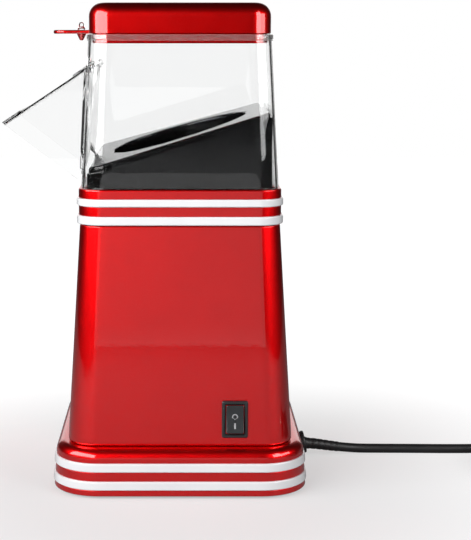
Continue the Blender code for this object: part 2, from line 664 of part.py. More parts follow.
# ---- blower, heater and chamber ----
def build_blower():
    """Motor plate, motor, shaft, impeller and the housing round it."""
    plate = cylinder("motor_plate", 0.0615, 0.0015, (0.0, 0.0, PLATE_Z + 0.00075), "steel", sides=40)
    holes = bmesh.new()
    bmesh.ops.create_cone(holes, cap_ends=True, segments=16, radius1=0.0060, radius2=0.0060, depth=0.01)
    for index in range(8):
        angle = math.pi / 4 * index + math.pi / 8
        where = Matrix.Translation((0.0285 * math.cos(angle), 0.0285 * math.sin(angle), 0.0))
        bmesh.ops.create_cone(holes, cap_ends=True, segments=14, radius1=0.0070, radius2=0.0070, depth=0.01,
                              matrix=where)
    cutter = place("cut_plate_holes", mesh_from(holes, "cut_plate_holes"), None)
    cutter.location = (0.0, 0.0, PLATE_Z)
    cut(plate, cutter)

    bore = SHAFT_RADIUS + GAP
    top = PLATE_Z - GAP
    turned("motor", [(0.0, 0.0480), (bore, 0.0480), (bore, top), (MOTOR_RADIUS - 0.001, top),
                     (MOTOR_RADIUS, top - 0.001), (MOTOR_RADIUS, 0.0250), (0.0060, 0.0250), (0.0060, 0.0225),
                     (0.0, 0.0225)], "steel")
    turned("motor_shaft", [(0.0, 0.0800), (SHAFT_RADIUS, 0.0800), (SHAFT_RADIUS, 0.0483), (0.0, 0.0483)],
           "steel", steps=16)

    hub, blade = 0.0070, 0.0008
    outline = []
    for index in range(10):
        angle = math.tau * index / 10
        swept = Matrix.Rotation(angle, 2)
        reach = math.sqrt(hub ** 2 - blade ** 2)
        for point in ((reach, -blade), (IMPELLER_RADIUS, -blade), (IMPELLER_RADIUS, blade), (reach, blade)):
            turned_point = swept @ Vector(point)
            outline.append((turned_point.x, turned_point.y))
    level = Matrix.Translation((0.0, 0.0, 0.0720))
    impeller = extruded("fan_impeller", outline, 0.0120, "black_plastic", level)
    disc = cylinder("cut_impeller_disc", IMPELLER_RADIUS - 0.0004, 0.0016, (0.0, 0.0, 0.0784), None, sides=36)
    weld(impeller, disc)
    cut(impeller, cylinder("cut_impeller_bore", bore, 0.04, (0.0, 0.0, 0.0720), None, sides=16))

    low = PLATE_Z + 0.0015 + GAP
    lip = FAN_HOUSING_RADIUS + 0.006
    wall = 0.0018
    turned("fan_housing", [(FAN_HOUSING_RADIUS, 0.0862), (FAN_HOUSING_RADIUS, low + wall), (lip, low + wall),
                           (lip, low), (0.0380, low), (0.0380, low + wall),
                           (FAN_HOUSING_RADIUS - wall, low + 2 * wall), (FAN_HOUSING_RADIUS - wall, 0.0862)],
           "black_plastic", ring=True)


def build_heater():
    """The mica cross with its heating coil, in the space below the chamber."""
    arm, blade = 0.0255, 0.0009
    outline = []
    for index in range(4):
        quarter = Matrix.Rotation(math.pi / 2 * index, 2)
        for point in ((blade, -blade), (arm, -blade), (arm, blade)):
            turned_point = quarter @ Vector(point)
            outline.append((turned_point.x, turned_point.y))
    extruded("heater_frame", outline, 0.0220, "mica", Matrix.Translation((0.0, 0.0, 0.1000)))
    count = COIL_TURNS * 16
    low, rise = 0.0910, 0.0180
    points = []
    for index in range(count + 1):
        angle = math.tau * COIL_TURNS * index / count
        x, y = COIL_RADIUS * math.cos(angle), COIL_RADIUS * math.sin(angle)
        points.append((x, y, low + rise * index / count))
    tube("heater_coil", points, 0.0022, "steel")


def build_chamber():
    """The popping chamber with its louvres, the air jacket round it and the plate that holds the jacket."""
    wall = 0.0012
    inner = CHAMBER_RADIUS
    outer = CHAMBER_RADIUS + wall
    rim = 0.0012
    flange = JACKET_RADIUS
    floor = CHAMBER_BOTTOM + wall
    profile = [(0.0, floor), (inner - 0.0055, floor), (inner, CHAMBER_BOTTOM + 0.0065), (inner, CHAMBER_TOP),
               (flange, CHAMBER_TOP), (flange, CHAMBER_TOP - rim), (outer, CHAMBER_TOP - rim),
               (outer, CHAMBER_BOTTOM + 0.006), (outer - 0.006, CHAMBER_BOTTOM), (0.0, CHAMBER_BOTTOM)]
    chamber = turned("popping_chamber", profile, "aluminium", steps=32)
    louvres = bmesh.new()
    slot = (Matrix.Translation((CHAMBER_RADIUS, 0.0, CHAMBER_BOTTOM + 0.018))
            @ Matrix.Rotation(math.radians(35), 4, "X") @ Matrix.Diagonal((0.008, 0.0022, 0.014, 1.0)))
    for index in range(LOUVRE_COUNT):
        angle = math.tau * (index + 0.5) / LOUVRE_COUNT
        bmesh.ops.create_cube(louvres, size=1.0, matrix=Matrix.Rotation(angle, 4, "Z") @ slot)
    cut(chamber, place("cut_louvres", mesh_from(louvres, "cut_louvres", smooth=False), None))

    skin = 0.0010
    turned("air_jacket", [(JACKET_RADIUS, JACKET_TOP - 0.0010), (JACKET_RADIUS, JACKET_BOTTOM),
                          (JACKET_RADIUS - skin, JACKET_BOTTOM), (JACKET_RADIUS - skin, JACKET_TOP - 0.0010)],
           "steel", ring=True)
    inset = BODY_WALL + GAP
    plate = loft("support_plate", [body_section(SUPPORT_Z, inset), body_section(SUPPORT_Z + 0.0012, inset)],
                 "steel", closed=False)
    hole_radius = JACKET_RADIUS + 2 * GAP
    cut(plate, cylinder("cut_jacket_hole", hole_radius, 0.02, (0.0, 0.0, SUPPORT_Z), None, sides=32))


def build_controls():
    """Thermostat and thermal fuse on the jacket, the rectifier board and the leads from gland to switch."""
    cylinder("thermostat", 0.0075, 0.0060, (-JACKET_RADIUS - 0.0035, 0.0, 0.1300), "black_plastic", axis="X")
    cylinder("thermal_fuse", 0.0022, 0.0120, (0.0, JACKET_RADIUS + 0.0027, 0.1200), "aluminium", sides=16)
    box("rectifier_board", (0.0300, 0.0016, 0.0220), (0.0, 0.0300, 0.0400), "circuit_board")
    gland = Vector((base_half(RELIEF_CENTRE.z) - 0.0100, RELIEF_CENTRE.y, RELIEF_CENTRE.z))
    switch_back = -body_half(SWITCH_Z) + SWITCH_BODY_DEPTH + 0.0015
    for name, shift in (("live_lead", 1), ("neutral_lead", -1)):
        start = gland + Vector((0.0, 0.0022 * shift, 0.0))
        end = Vector((SWITCH_X, switch_back, SWITCH_Z + 0.0050 * shift))
        route = [start, start + Vector((-0.0080, 0.0, 0.0010)),
                 Vector((0.0550, -0.0100, 0.0200 + 0.0040 * shift)),
                 Vector((0.0500, -0.0250, 0.0330 + 0.0050 * shift)),
                 Vector((0.0480, -0.0480, 0.0430 + 0.0050 * shift)), end + Vector((0.0060, 0.0030, 0.0)), end]
        tube(name, smooth_path(route, 0.006), 0.0024, "black_rubber")


# ---- switch ----
def switch_mount():
    """An empty on the near wall, leaning with it, so that its -Y axis points straight out of the wall."""
    frame = bpy.data.objects.new("switch_frame", None)
    PARTS.objects.link(frame)
    frame.parent = CARRIER
    frame.location = (SWITCH_X, -body_half(SWITCH_Z), SWITCH_Z)
    frame.rotation_euler = (-math.atan(BODY_TAPER), 0.0, 0.0)
    return frame


def build_switch(frame):
    """The switch housing with its pocket, and the rocker in it with the O half pressed in."""
    housing = box("switch_housing", (BEZEL_WIDTH, BEZEL_THICK, BEZEL_HEIGHT),
                  (0.0, -GAP - BEZEL_THICK / 2, 0.0), "black_plastic", edge=0.0006, parent=frame)
    body = box("cut_switch_body", (SWITCH_BODY_WIDTH, SWITCH_BODY_DEPTH + 0.001, SWITCH_BODY_HEIGHT),
               (0.0, SWITCH_BODY_DEPTH / 2 - 0.001, 0.0), None, parent=frame)
    pocket = box("cut_switch_pocket", (ROCKER_WIDTH + 0.0006, 0.0140, ROCKER_HEIGHT + 0.0010),
                 (0.0, 0.0, 0.0), None, parent=frame)
    cut(weld(housing, body), pocket)

    rise = ROCKER_HEIGHT / 2 * math.tan(math.radians(ROCKER_TILT_DEG))
    half = ROCKER_HEIGHT / 2
    valley = 0.0019
    outline = [(-valley, 0.0), (-valley - rise, -half), (0.0012, -half + 0.0004), (0.0030, -half * 0.45),
               (0.0030, half * 0.45), (0.0012, half - 0.0004), (-valley - rise, half)]
    pivot = bpy.data.objects.new("rocker_pivot", None)
    PARTS.objects.link(pivot)
    pivot.parent = frame
    pivot.location = (0.0, -0.0005, 0.0)
    pivot.rotation_euler = (-math.radians(ROCKER_TILT_DEG), 0.0, 0.0)
    # the outline's x runs along the rocker's Y and its y along Z; its thickness then runs along X
    across = Matrix(((0, 0, 1, 0), (1, 0, 0, 0), (0, 1, 0, 0), (0, 0, 0, 1)))
    rocker = extruded("switch_rocker", outline, ROCKER_WIDTH, "black_plastic", across, parent=pivot)
    edges = rocker.modifiers.new("edges", "BEVEL")
    edges.width = 0.0004
    edges.segments = 2
    edges.limit_method = "ANGLE"
    edges.angle_limit = math.radians(40)


# ---- mains lead ----
def build_lead():
    """Strain relief, the lead on the table, its coil with a tie, and the plug."""
    tilt = Matrix.Rotation(-math.radians(RELIEF_TILT_DEG), 4, "Y")
    flange = cylinder("strain_relief", RELIEF_FLANGE_RADIUS, 0.0022, (0.0, 0.0, 0.0), "black_plastic",
                      axis="X")
    flange.matrix_local = Matrix.Translation(RELIEF_CENTRE) @ tilt
    boss = cylinder("cut_relief_boss", RELIEF_BOSS_RADIUS, 0.0105,
                    (RELIEF_CENTRE.x - 0.0053, RELIEF_CENTRE.y, RELIEF_CENTRE.z), None, axis="X")
    sleeve_path = smooth_path(RELIEF_SLEEVE, 0.004)
    count = len(sleeve_path) - 1
    widths = [0.0074 - (0.0074 - 0.0064) * index / count for index in range(count + 1)]
    sleeve = tube("cut_relief_sleeve", sleeve_path, widths, None, sides_level=3)
    weld(flange, boss, sleeve)

    tube("power_cord", smooth_path(CORD_ROUTE, 0.014), CORD_DIAMETER, "black_rubber")
    tube("cord_tail", smooth_path(TAIL_ROUTE, 0.006), CORD_DIAMETER, "black_rubber")
    inner = COIL_MIDDLE_RADIUS - CORD_DIAMETER
    outer = COIL_MIDDLE_RADIUS + CORD_DIAMETER
    height = 2 * CORD_DIAMETER
    chamfer = 0.0014
    coil = turned("cord_coil", [(outer - chamfer, height), (outer, height - chamfer), (outer, chamfer),
                                (outer - chamfer, 0.0), (inner + chamfer, 0.0), (inner, chamfer),
                                (inner, height - chamfer), (inner + chamfer, height)],
                  "black_rubber", steps=36, ring=True)
    coil.location = (*COIL_CENTRE, COIL_LIFT)
    build_tie(outer - inner, COIL_LIFT + height)
    build_plug()


def build_tie(width, top):
    """A flat strap round the coil: a ring that stands on the table, in a plane through the coil's axis."""
    clear = 0.0005
    strap = 0.0012
    sole = COIL_LIFT - GAP
    half = width / 2 + clear
    angle = math.radians(-150.0)
    stand = (Matrix.Translation((COIL_CENTRE[0] + COIL_MIDDLE_RADIUS * math.cos(angle),
                                 COIL_CENTRE[1] + COIL_MIDDLE_RADIUS * math.sin(angle), 0.0))
             @ Matrix.Rotation(angle, 4, "Z") @ Matrix.Rotation(math.pi / 2, 4, "X"))
    rim = extruded("cord_tie", [(half + strap, top + clear + strap), (-half - strap, top + clear + strap),
                                (-half - strap, 0.0), (half + strap, 0.0)], 0.0060, "black_plastic", stand)
    window = box("cut_tie_window", (2 * half, top + clear - sole, 0.02), (0.0, 0.0, 0.0), None)
    window.matrix_local = stand @ Matrix.Translation((0.0, (top + clear + sole) / 2, 0.0))
    cut(rim, window)


def build_plug():
    """A flat moulded plug with two round pins, lying beside the coil."""
    face = PLUG_TAIL_Y - PLUG_TAIL_LENGTH - PLUG_LENGTH
    middle = PLUG_TAIL_Y - PLUG_TAIL_LENGTH - PLUG_LENGTH / 2
    plug = box("mains_plug", (PLUG_WIDTH, PLUG_LENGTH, PLUG_HEIGHT), (PLUG_X, middle, PLUG_Z),
               "black_plastic", edge=0.0060)
    tail = tube("cut_plug_tail", [(PLUG_X, PLUG_TAIL_Y, PLUG_Z), (PLUG_X, PLUG_TAIL_Y - 0.006, PLUG_Z),
                                  (PLUG_X, PLUG_TAIL_Y - PLUG_TAIL_LENGTH - 0.004, PLUG_Z)],
                [0.0074, 0.0092, 0.0120], None)
    weld(plug, tail)
    for number, side in ((1, -1), (2, 1)):
        cylinder(f"plug_pin_{number}", PLUG_PIN_RADIUS, PLUG_PIN_LENGTH,
                 (PLUG_X + side * PLUG_PIN_SPACING / 2, face - GAP - PLUG_PIN_LENGTH / 2, PLUG_Z), "brass",
                 axis="Y", sides=18)


def build():
    """The whole machine."""
    switch_frame = switch_mount()
    build_plinth()
    build_body(switch_frame)
    build_hood()
    build_flap()
    build_cap()
    build_chute()
    build_blower()
    build_heater()
    build_chamber()
    build_controls()
    build_switch(switch_frame)
    build_lead()


build()
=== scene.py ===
"""Looks of the hot-air popcorn maker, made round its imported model.

Every piece is worked out in metres. A shape is a grid of points computed as whole arrays: a profile carried
round a rounded square, turned about an axis, or swept along a path. Machine coordinates are measured from the
machine's own upright axis, and to_world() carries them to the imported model's frame.
"""

import json
import logging
import math
from collections.abc import Callable
from dataclasses import dataclass, field
from enum import Enum

import bpy
import numpy as np
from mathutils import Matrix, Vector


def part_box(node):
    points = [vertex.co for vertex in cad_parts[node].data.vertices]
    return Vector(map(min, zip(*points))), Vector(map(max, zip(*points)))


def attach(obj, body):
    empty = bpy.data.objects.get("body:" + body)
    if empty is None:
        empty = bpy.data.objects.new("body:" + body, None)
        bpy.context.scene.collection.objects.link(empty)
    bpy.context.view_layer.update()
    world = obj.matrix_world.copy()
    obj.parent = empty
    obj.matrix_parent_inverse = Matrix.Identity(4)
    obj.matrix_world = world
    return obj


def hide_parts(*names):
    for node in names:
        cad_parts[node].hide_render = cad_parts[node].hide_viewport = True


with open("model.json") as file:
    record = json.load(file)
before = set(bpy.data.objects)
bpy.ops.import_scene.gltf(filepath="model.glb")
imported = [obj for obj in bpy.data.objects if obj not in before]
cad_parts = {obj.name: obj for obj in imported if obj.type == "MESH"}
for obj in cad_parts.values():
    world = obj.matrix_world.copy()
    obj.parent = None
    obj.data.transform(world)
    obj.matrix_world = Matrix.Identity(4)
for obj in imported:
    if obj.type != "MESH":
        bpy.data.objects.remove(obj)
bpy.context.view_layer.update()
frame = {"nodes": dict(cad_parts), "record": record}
LOG = logging.getLogger("popcorn_maker")

CORNER_STEPS = 14                        # steps in each rounded corner of a ring
SIDE_SHARES = (0.04, 0.35, 0.65, 0.96)   # where a ring's straight sides carry a point
GAP = 0.0003                             # clearance between touching pieces
BAND_EDGE = 0.0008                       # radius of a white band's edges

BODY_LOW, BODY_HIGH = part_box("body_shell")
AXIS_X = (BODY_LOW.x + BODY_HIGH.x) / 2  # the machine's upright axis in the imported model's frame

Colour = tuple[float, float, float]
Row = tuple[float, float, float]         # half width, corner radius and height of a square ring
Place = tuple[np.ndarray, np.ndarray]    # a turn and an origin


class Body(Enum):
    """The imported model's moving bodies."""

    BASE = "base"
    HOOD = "hood"
    FLAP = "flap"
    CAP = "cap"
    ROCKER = "rocker"
    FAN = "fan"


class Slot(Enum):
    """The record's material slots."""

    RED_PAINT = "red_paint"
    WHITE_GLOSS = "white_gloss"
    RED_GLOSS = "red_gloss"
    CLEAR_PLASTIC = "clear_plastic"
    BLACK_PLASTIC = "black_plastic"
    SWITCH_PLASTIC = "switch_plastic"
    BLACK_RUBBER = "black_rubber"
    CORD_RUBBER = "cord_rubber"
    ALUMINIUM = "aluminium"
    STEEL = "steel"
    BRASS = "brass"
    MICA = "mica"
    CIRCUIT_BOARD = "circuit_board"


# ---- shapes ----
def to_world(points: np.ndarray) -> np.ndarray:
    """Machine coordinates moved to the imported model's frame.

    Args:
        points: An array whose last axis is x, y, z.

    Returns:
        The same points, moved along X by the machine axis's place.
    """
    return points + np.array([AXIS_X, 0.0, 0.0])


def smooth_step(values: np.ndarray, start: float, stop: float) -> np.ndarray:
    """A rise from 0 to 1 between start and stop, level at both ends: t * t * (3 - 2 t).

    Args:
        values: Where the rise is wanted.
        start: The value where it starts.
        stop: The value where it ends.

    Returns:
        The rise at each value.
    """
    share = np.clip((values - start) / (stop - start), 0.0, 1.0)
    return share * share * (3.0 - 2.0 * share)


def rounded_rectangle(half_x: np.ndarray, half_y: np.ndarray, corner: np.ndarray,
                      steps: int = CORNER_STEPS) -> np.ndarray:
    """Rings of rectangles with rounded corners.

    Each corner is its centre + radius * (cos a, sin a) over a quarter turn, and a few points share out the
    straight side that follows it.

    Args:
        half_x: Half widths, one for each ring.
        half_y: Half depths, one for each ring.
        corner: Corner radii, one for each ring.
        steps: Steps in each corner.

    Returns:
        An array (rings, points, 2), anticlockwise from above.
    """
    half_x, half_y, corner = (np.atleast_1d(np.asarray(value, float))[:, None]
                              for value in (half_x, half_y, corner))
    sweep = np.linspace(0.0, math.pi / 2, steps + 1)
    shares = np.array(SIDE_SHARES)
    quarters = []
    for quarter in range(4):
        wide, deep = (half_x, half_y) if quarter % 2 == 0 else (half_y, half_x)
        across = np.hstack([wide - corner + corner * np.cos(sweep), (wide - corner) * (1.0 - 2.0 * shares)])
        along = np.hstack([deep - corner + corner * np.sin(sweep), deep + 0.0 * shares])
        cosine, sine = math.cos(quarter * math.pi / 2), math.sin(quarter * math.pi / 2)
        quarters.append(np.stack([cosine * across - sine * along, sine * across + cosine * along], axis=-1))
    return np.concatenate(quarters, axis=1)


def square_rings(rows: np.ndarray) -> np.ndarray:
    """A profile of (half width, corner radius, height) rows carried round a rounded square.

    Args:
        rows: An array (rows, 3).

    Returns:
        A grid (rows, points, 3), one ring for each row.
    """
    ring = rounded_rectangle(rows[:, 0], rows[:, 0], rows[:, 1])
    height = np.broadcast_to(rows[:, 2][:, None, None], ring.shape[:2] + (1,))
    return np.concatenate([ring, height], axis=-1)


def quarter_round(half: float, corner: float, top: float, radius: float, steps: int = 8) -> np.ndarray:
    """Profile rows of a rounded top edge: half - r (1 - cos a), top - r (1 - sin a), from side to top.

    Args:
        half: Half width of the side below the edge.
        corner: Corner radius of the side.
        top: Height of the top.
        radius: The edge's radius.
        steps: Steps in the quarter turn.

    Returns:
        Rows (half width, corner radius, height).
    """
    angle = np.linspace(0.0, math.pi / 2, steps + 1)
    shrink = radius * (1.0 - np.cos(angle))
    return np.stack([half - shrink, corner - shrink, top - radius * (1.0 - np.sin(angle))], axis=1)


def lathe(profile: np.ndarray, columns: int = 48) -> np.ndarray:
    """A profile of (radius, height) points turned about the Z axis: (r cos a, r sin a, z).

    Args:
        profile: An array (rows, 2).
        columns: Points round each ring.

    Returns:
        A grid (rows, columns, 3).
    """
    angle = np.linspace(0.0, math.tau, columns, endpoint=False)
    radius, height = profile[:, 0][:, None], profile[:, 1][:, None]
    return np.stack([radius * np.cos(angle), radius * np.sin(angle), height + 0.0 * angle], axis=-1)


def slab(outline: np.ndarray, thickness: float, edge: float, steps: int = 3) -> np.ndarray:
    """A flat outline given a thickness along Z and rounded edges.

    The outline is drawn in by edge * (1 - sin a) at both faces, against its own outward normal.

    Args:
        outline: An array (points, 2), anticlockwise and smooth.
        thickness: The whole thickness.
        edge: The radius of its edges.
        steps: Steps in each rounded edge.

    Returns:
        A grid (rows, points, 3) from the lower face to the upper one.
    """
    along = np.roll(outline, -1, axis=0) - np.roll(outline, 1, axis=0)
    outward = np.stack([along[:, 1], -along[:, 0]], axis=1)
    outward /= np.maximum(np.linalg.norm(outward, axis=1, keepdims=True), 1e-12)
    angle = np.linspace(0.0, math.pi / 2, steps + 1)
    inset = np.concatenate([edge * (1.0 - np.sin(angle)), edge * (1.0 - np.cos(angle))])
    lower = -thickness / 2 + edge * (1.0 - np.cos(angle))
    height = np.concatenate([lower, -lower[::-1]])
    rings = outline[None] - inset[:, None, None] * outward[None]
    return np.concatenate([rings, np.broadcast_to(height[:, None, None], rings.shape[:2] + (1,))], axis=-1)


def catmull_rom(route: list[tuple[float, float, float]], spacing: float) -> np.ndarray:
    """Points on one smooth curve through a route (Catmull-Rom).

    Between two knots b and c with neighbours a and d, it is half of
    2 b + (c - a) t + (2 a - 5 b + 4 c - d) t^2 + (3 b - a - 3 c + d) t^3.

    Args:
        route: The knots.
        spacing: About how far apart the points lie.

    Returns:
        An array (points, 3).
    """
    knots = np.array(route)
    knots = np.vstack([2 * knots[0] - knots[1], knots, 2 * knots[-1] - knots[-2]])
    path = []
    for before, start, stop, after in zip(knots, knots[1:], knots[2:], knots[3:]):
        pieces = max(1, round(float(np.linalg.norm(stop - start)) / spacing))
        t = (np.arange(pieces) / pieces)[:, None]
        bend = 2 * before - 5 * start + 4 * stop - after
        twist = 3 * start - before - 3 * stop + after
        path.append(0.5 * (2 * start + (stop - before) * t + bend * t ** 2 + twist * t ** 3))
    return np.vstack([*path, knots[-2:-1]])


def sweep(path: np.ndarray, radius: np.ndarray, sides: int = 20) -> np.ndarray:
    """A round profile carried along a path that lies mostly level.

    Each ring is path + r (cos a * side + sin a * up), where side is the level direction across the path.

    Args:
        path: An array (points, 3).
        radius: The radius at each point.
        sides: Points round the profile.

    Returns:
        A grid (points, sides, 3).
    """
    along = np.gradient(path, axis=0)
    along /= np.linalg.norm(along, axis=1, keepdims=True)
    side = np.cross(along, np.array([0.0, 0.0, 1.0]))
    side /= np.linalg.norm(side, axis=1, keepdims=True)
    up = np.cross(side, along)
    angle = np.linspace(0.0, math.tau, sides, endpoint=False)[None, :, None]
    ring = np.cos(angle) * side[:, None] + np.sin(angle) * up[:, None]
    return path[:, None] + np.asarray(radius, float)[:, None, None] * ring


def rotation(angle: float, first: int, second: int) -> np.ndarray:
    """The matrix of a turn that carries one axis towards another.

    Args:
        angle: The turn in radians.
        first: Number of the axis that is carried.
        second: Number of the axis it goes towards.

    Returns:
        A matrix (3, 3).
    """
    matrix = np.eye(3)
    matrix[first, first] = matrix[second, second] = math.cos(angle)
    matrix[first, second] = -math.sin(angle)
    matrix[second, first] = math.sin(angle)
    return matrix


def frame_of(origin: tuple[float, float, float], tilt_x: float = 0.0, tilt_y: float = 0.0,
             turn_z: float = 0.0) -> Place:
    """A place and its turn: about Z first, then Y, then X.

    Args:
        origin: The place.
        tilt_x: Radians about X.
        tilt_y: Radians about Y.
        turn_z: Radians about Z.

    Returns:
        The turn's matrix and the place.
    """
    turn = rotation(tilt_x, 1, 2) @ rotation(tilt_y, 2, 0) @ rotation(turn_z, 0, 1)
    return turn, np.array(origin)


def put(points: np.ndarray, where: Place) -> np.ndarray:
    """Points turned and moved to a place made by frame_of()."""
    return points @ where[0].T + where[1]


@dataclass
class Surface:
    """A mesh over grids of points, with its faces outward.

    Attributes:
        points: The vertices gathered so far.
        faces: The faces gathered so far, as lists of vertex numbers.
    """

    points: list[np.ndarray] = field(default_factory=list)
    faces: list[list[int]] = field(default_factory=list)

    def grid(self, grid: np.ndarray, wrap_rows: bool = False, wrap_columns: bool = True,
             first_cap: bool = False, last_cap: bool = False, keep: np.ndarray | None = None) -> "Surface":
        """Add a grid of quads.

        Args:
            grid: An array (rows, columns, 3), columns anticlockwise from above and rows upward outside.
            wrap_rows: Whether the last row joins the first.
            wrap_columns: Whether the last column joins the first.
            first_cap: Whether the first row is closed by one face.
            last_cap: Whether the last row is closed by one face.
            keep: Which quads are kept, one flag for each.

        Returns:
            The surface itself, for more grids.
        """
        start = sum(len(block) for block in self.points)
        rows, columns = grid.shape[:2]
        index = start + np.arange(rows * columns).reshape(rows, columns)
        self.points.append(grid.reshape(-1, 3))
        if first_cap:
            self.faces.append(index[0, ::-1].tolist())
        if last_cap:
            self.faces.append(index[-1].tolist())
        if wrap_rows:
            index = np.vstack([index, index[:1]])
        if wrap_columns:
            index = np.hstack([index, index[:, :1]])
        quads = np.stack([index[:-1, :-1], index[:-1, 1:], index[1:, 1:], index[1:, :-1]], axis=-1)
        quads = quads.reshape(-1, 4) if keep is None else quads[keep]
        self.faces.extend(quads.tolist())
        return self

    def mesh(self, name: str, weld: bool = False) -> bpy.types.Mesh:
        """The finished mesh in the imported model's frame.

        Args:
            name: The mesh's name.
            weld: Whether points that are equal to a tenth of a micrometre are merged.

        Returns:
            The mesh.
        """
        points = to_world(np.vstack(self.points))
        faces = self.faces
        if weld:
            keys = np.round(points, 7)
            _, first, again = np.unique(keys, axis=0, return_index=True, return_inverse=True)
            points = points[first]
            again = again.reshape(-1)
            faces = [list(dict.fromkeys(again[face].tolist())) for face in faces]
            faces = [face for face in faces if len(face) > 2]
        mesh = bpy.data.meshes.new(name)
        mesh.from_pydata(points.tolist(), [], faces)
        mesh.update()
        return mesh


# ---- finishes ----
class Graph:
    """A material's node tree, with short calls to add and join nodes."""

    def __init__(self, name: str) -> None:
        """Start a Principled material that reads Object coordinates.

        Args:
            name: The material's name.
        """
        self.material = bpy.data.materials.new(name)
        self.material.use_nodes = True
        self.tree = self.material.node_tree
        self.shader = self.tree.nodes["Principled BSDF"]
        self.place = self.add("ShaderNodeTexCoord").outputs["Object"]

    def add(self, kind: str, joined: dict[str | int, bpy.types.NodeSocket] | None = None,
            **values: object) -> bpy.types.Node:
        """Add a node.

        Args:
            kind: The node's type.
            joined: Input name or number to the socket that feeds it.
            **values: Node settings, or input values by name with spaces as underscores.

        Returns:
            The new node.
        """
        node = self.tree.nodes.new(kind)
        for name, value in values.items():
            if hasattr(node, name):
                setattr(node, name, value)
            else:
                node.inputs[name.replace("_", " ")].default_value = value
        for name, socket in (joined or {}).items():
            self.tree.links.new(socket, node.inputs[name])
        return node

    def noise(self, scale: float, detail: float = 3.0,
              stretch: tuple[float, float, float] = (1.0, 1.0, 1.0)) -> bpy.types.NodeSocket:
        """A noise pattern.

        Args:
            scale: Repeats per metre.
            detail: How many finer layers it has.
            stretch: Its scale along X, Y and Z.

        Returns:
            The pattern, from 0 to 1.
        """
        mapped = self.add("ShaderNodeMapping", {"Vector": self.place}, Scale=stretch).outputs["Vector"]
        return self.add("ShaderNodeTexNoise", {"Vector": mapped}, Scale=scale, Detail=detail).outputs["Fac"]

    def spread(self, source: bpy.types.NodeSocket, reach: tuple[float, float], low: float, high: float,
               soft: bool = True) -> bpy.types.NodeSocket:
        """A stretch of a pattern spread from low to high.

        Args:
            source: The pattern.
            reach: The pattern's values that become low and high.
            low: The lowest result.
            high: The highest result.
            soft: Whether the rise is level at both ends.

        Returns:
            The spread pattern.
        """
        kind = "SMOOTHSTEP" if soft else "LINEAR"
        return self.add("ShaderNodeMapRange", {"Value": source}, interpolation_type=kind, From_Min=reach[0],
                        From_Max=reach[1], To_Min=low, To_Max=high).outputs["Result"]

    def drift(self, source: bpy.types.NodeSocket, low: float, high: float) -> bpy.types.NodeSocket:
        """A noise pattern's middle range spread from low to high."""
        return self.spread(source, (0.2, 0.8), low, high)

    def blend(self, share: bpy.types.NodeSocket, first: Colour | bpy.types.NodeSocket,
              second: Colour) -> bpy.types.NodeSocket:
        """A colour between two.

        Args:
            share: The second colour's share.
            first: One colour, or a pattern of colours.
            second: The other colour.

        Returns:
            The blended colour.
        """
        node = self.add("ShaderNodeMix", data_type="RGBA")
        self.tree.links.new(share, node.inputs["Factor"])
        for socket, colour in zip([item for item in node.inputs if item.type == "RGBA"], (first, second)):
            if isinstance(colour, tuple):
                socket.default_value = (*colour, 1.0)
            else:
                self.tree.links.new(colour, socket)
        return [item for item in node.outputs if item.type == "RGBA"][0]

    def relief(self, height: bpy.types.NodeSocket, depth: float) -> bpy.types.NodeSocket:
        """Bumps of a pattern, with its depth in metres."""
        return self.add("ShaderNodeBump", {"Height": height}, Strength=1.0, Distance=depth).outputs["Normal"]

    def feed(self, name: str, socket: bpy.types.NodeSocket) -> None:
        """Join a pattern to one of the shader's inputs."""
        self.tree.links.new(socket, self.shader.inputs[name])


@dataclass(frozen=True)
class Finish:
    """A moulded or plain surface: slight drift of colour and roughness, and a fine relief.

    Attributes:
        slot: The record's material slot.
        colour: The main colour, linear.
        worn: The colour it drifts to.
        roughness: Lowest and highest roughness.
        patch: Repeats per metre of the drift.
        smudge: Repeats of the roughness drift in one repeat of the colour's.
        grain: Repeats per metre of the fine relief.
        depth: Depth of the fine relief in metres.
        stretch: Scale of the grain along X, Y and Z, uneven where the surface is brushed or drawn.
        metallic: The shader's metallic value.
        coat: Weight of a clear coat.
        coat_roughness: Roughness of the clear coat.
        coat_ior: Index of refraction of the clear coat.
        transmission: Share of light let through.
        ior: Index of refraction.
    """

    slot: Slot
    colour: Colour
    worn: Colour
    roughness: tuple[float, float]
    patch: float = 45.0
    smudge: float = 2.7
    grain: float = 1800.0
    depth: float = 0.00001
    stretch: tuple[float, float, float] = (1.0, 1.0, 1.0)
    metallic: float = 0.0
    coat: float = 0.0
    coat_roughness: float = 0.02
    coat_ior: float = 1.6
    transmission: float = 0.0
    ior: float = 1.5

    def paint(self, graph: Graph) -> bpy.types.NodeSocket:
        """The colour, drifting in patches between the main colour and the worn one."""
        return graph.blend(graph.drift(graph.noise(self.patch, 2.0), 0.0, 1.0), self.colour, self.worn)

    def texture(self, graph: Graph) -> None:
        """Join the fine relief to the shader."""
        graph.feed("Normal", graph.relief(graph.noise(self.grain, 2.0, self.stretch), self.depth))

    def material(self) -> bpy.types.Material:
        """The finished material: the shader's own values, and its patterns.

        Returns:
            The material.
        """
        graph = Graph(self.slot.value)
        for name, value in (("Metallic", self.metallic), ("Coat Weight", self.coat),
                            ("Coat Roughness", self.coat_roughness), ("Coat IOR", self.coat_ior),
                            ("Transmission Weight", self.transmission), ("IOR", self.ior)):
            graph.shader.inputs[name].default_value = value
        graph.feed("Base Color", self.paint(graph))
        smudges = graph.noise(self.patch * self.smudge, 4.0, self.stretch)
        graph.feed("Roughness", graph.drift(smudges, *self.roughness))
        self.texture(graph)
        return graph.material


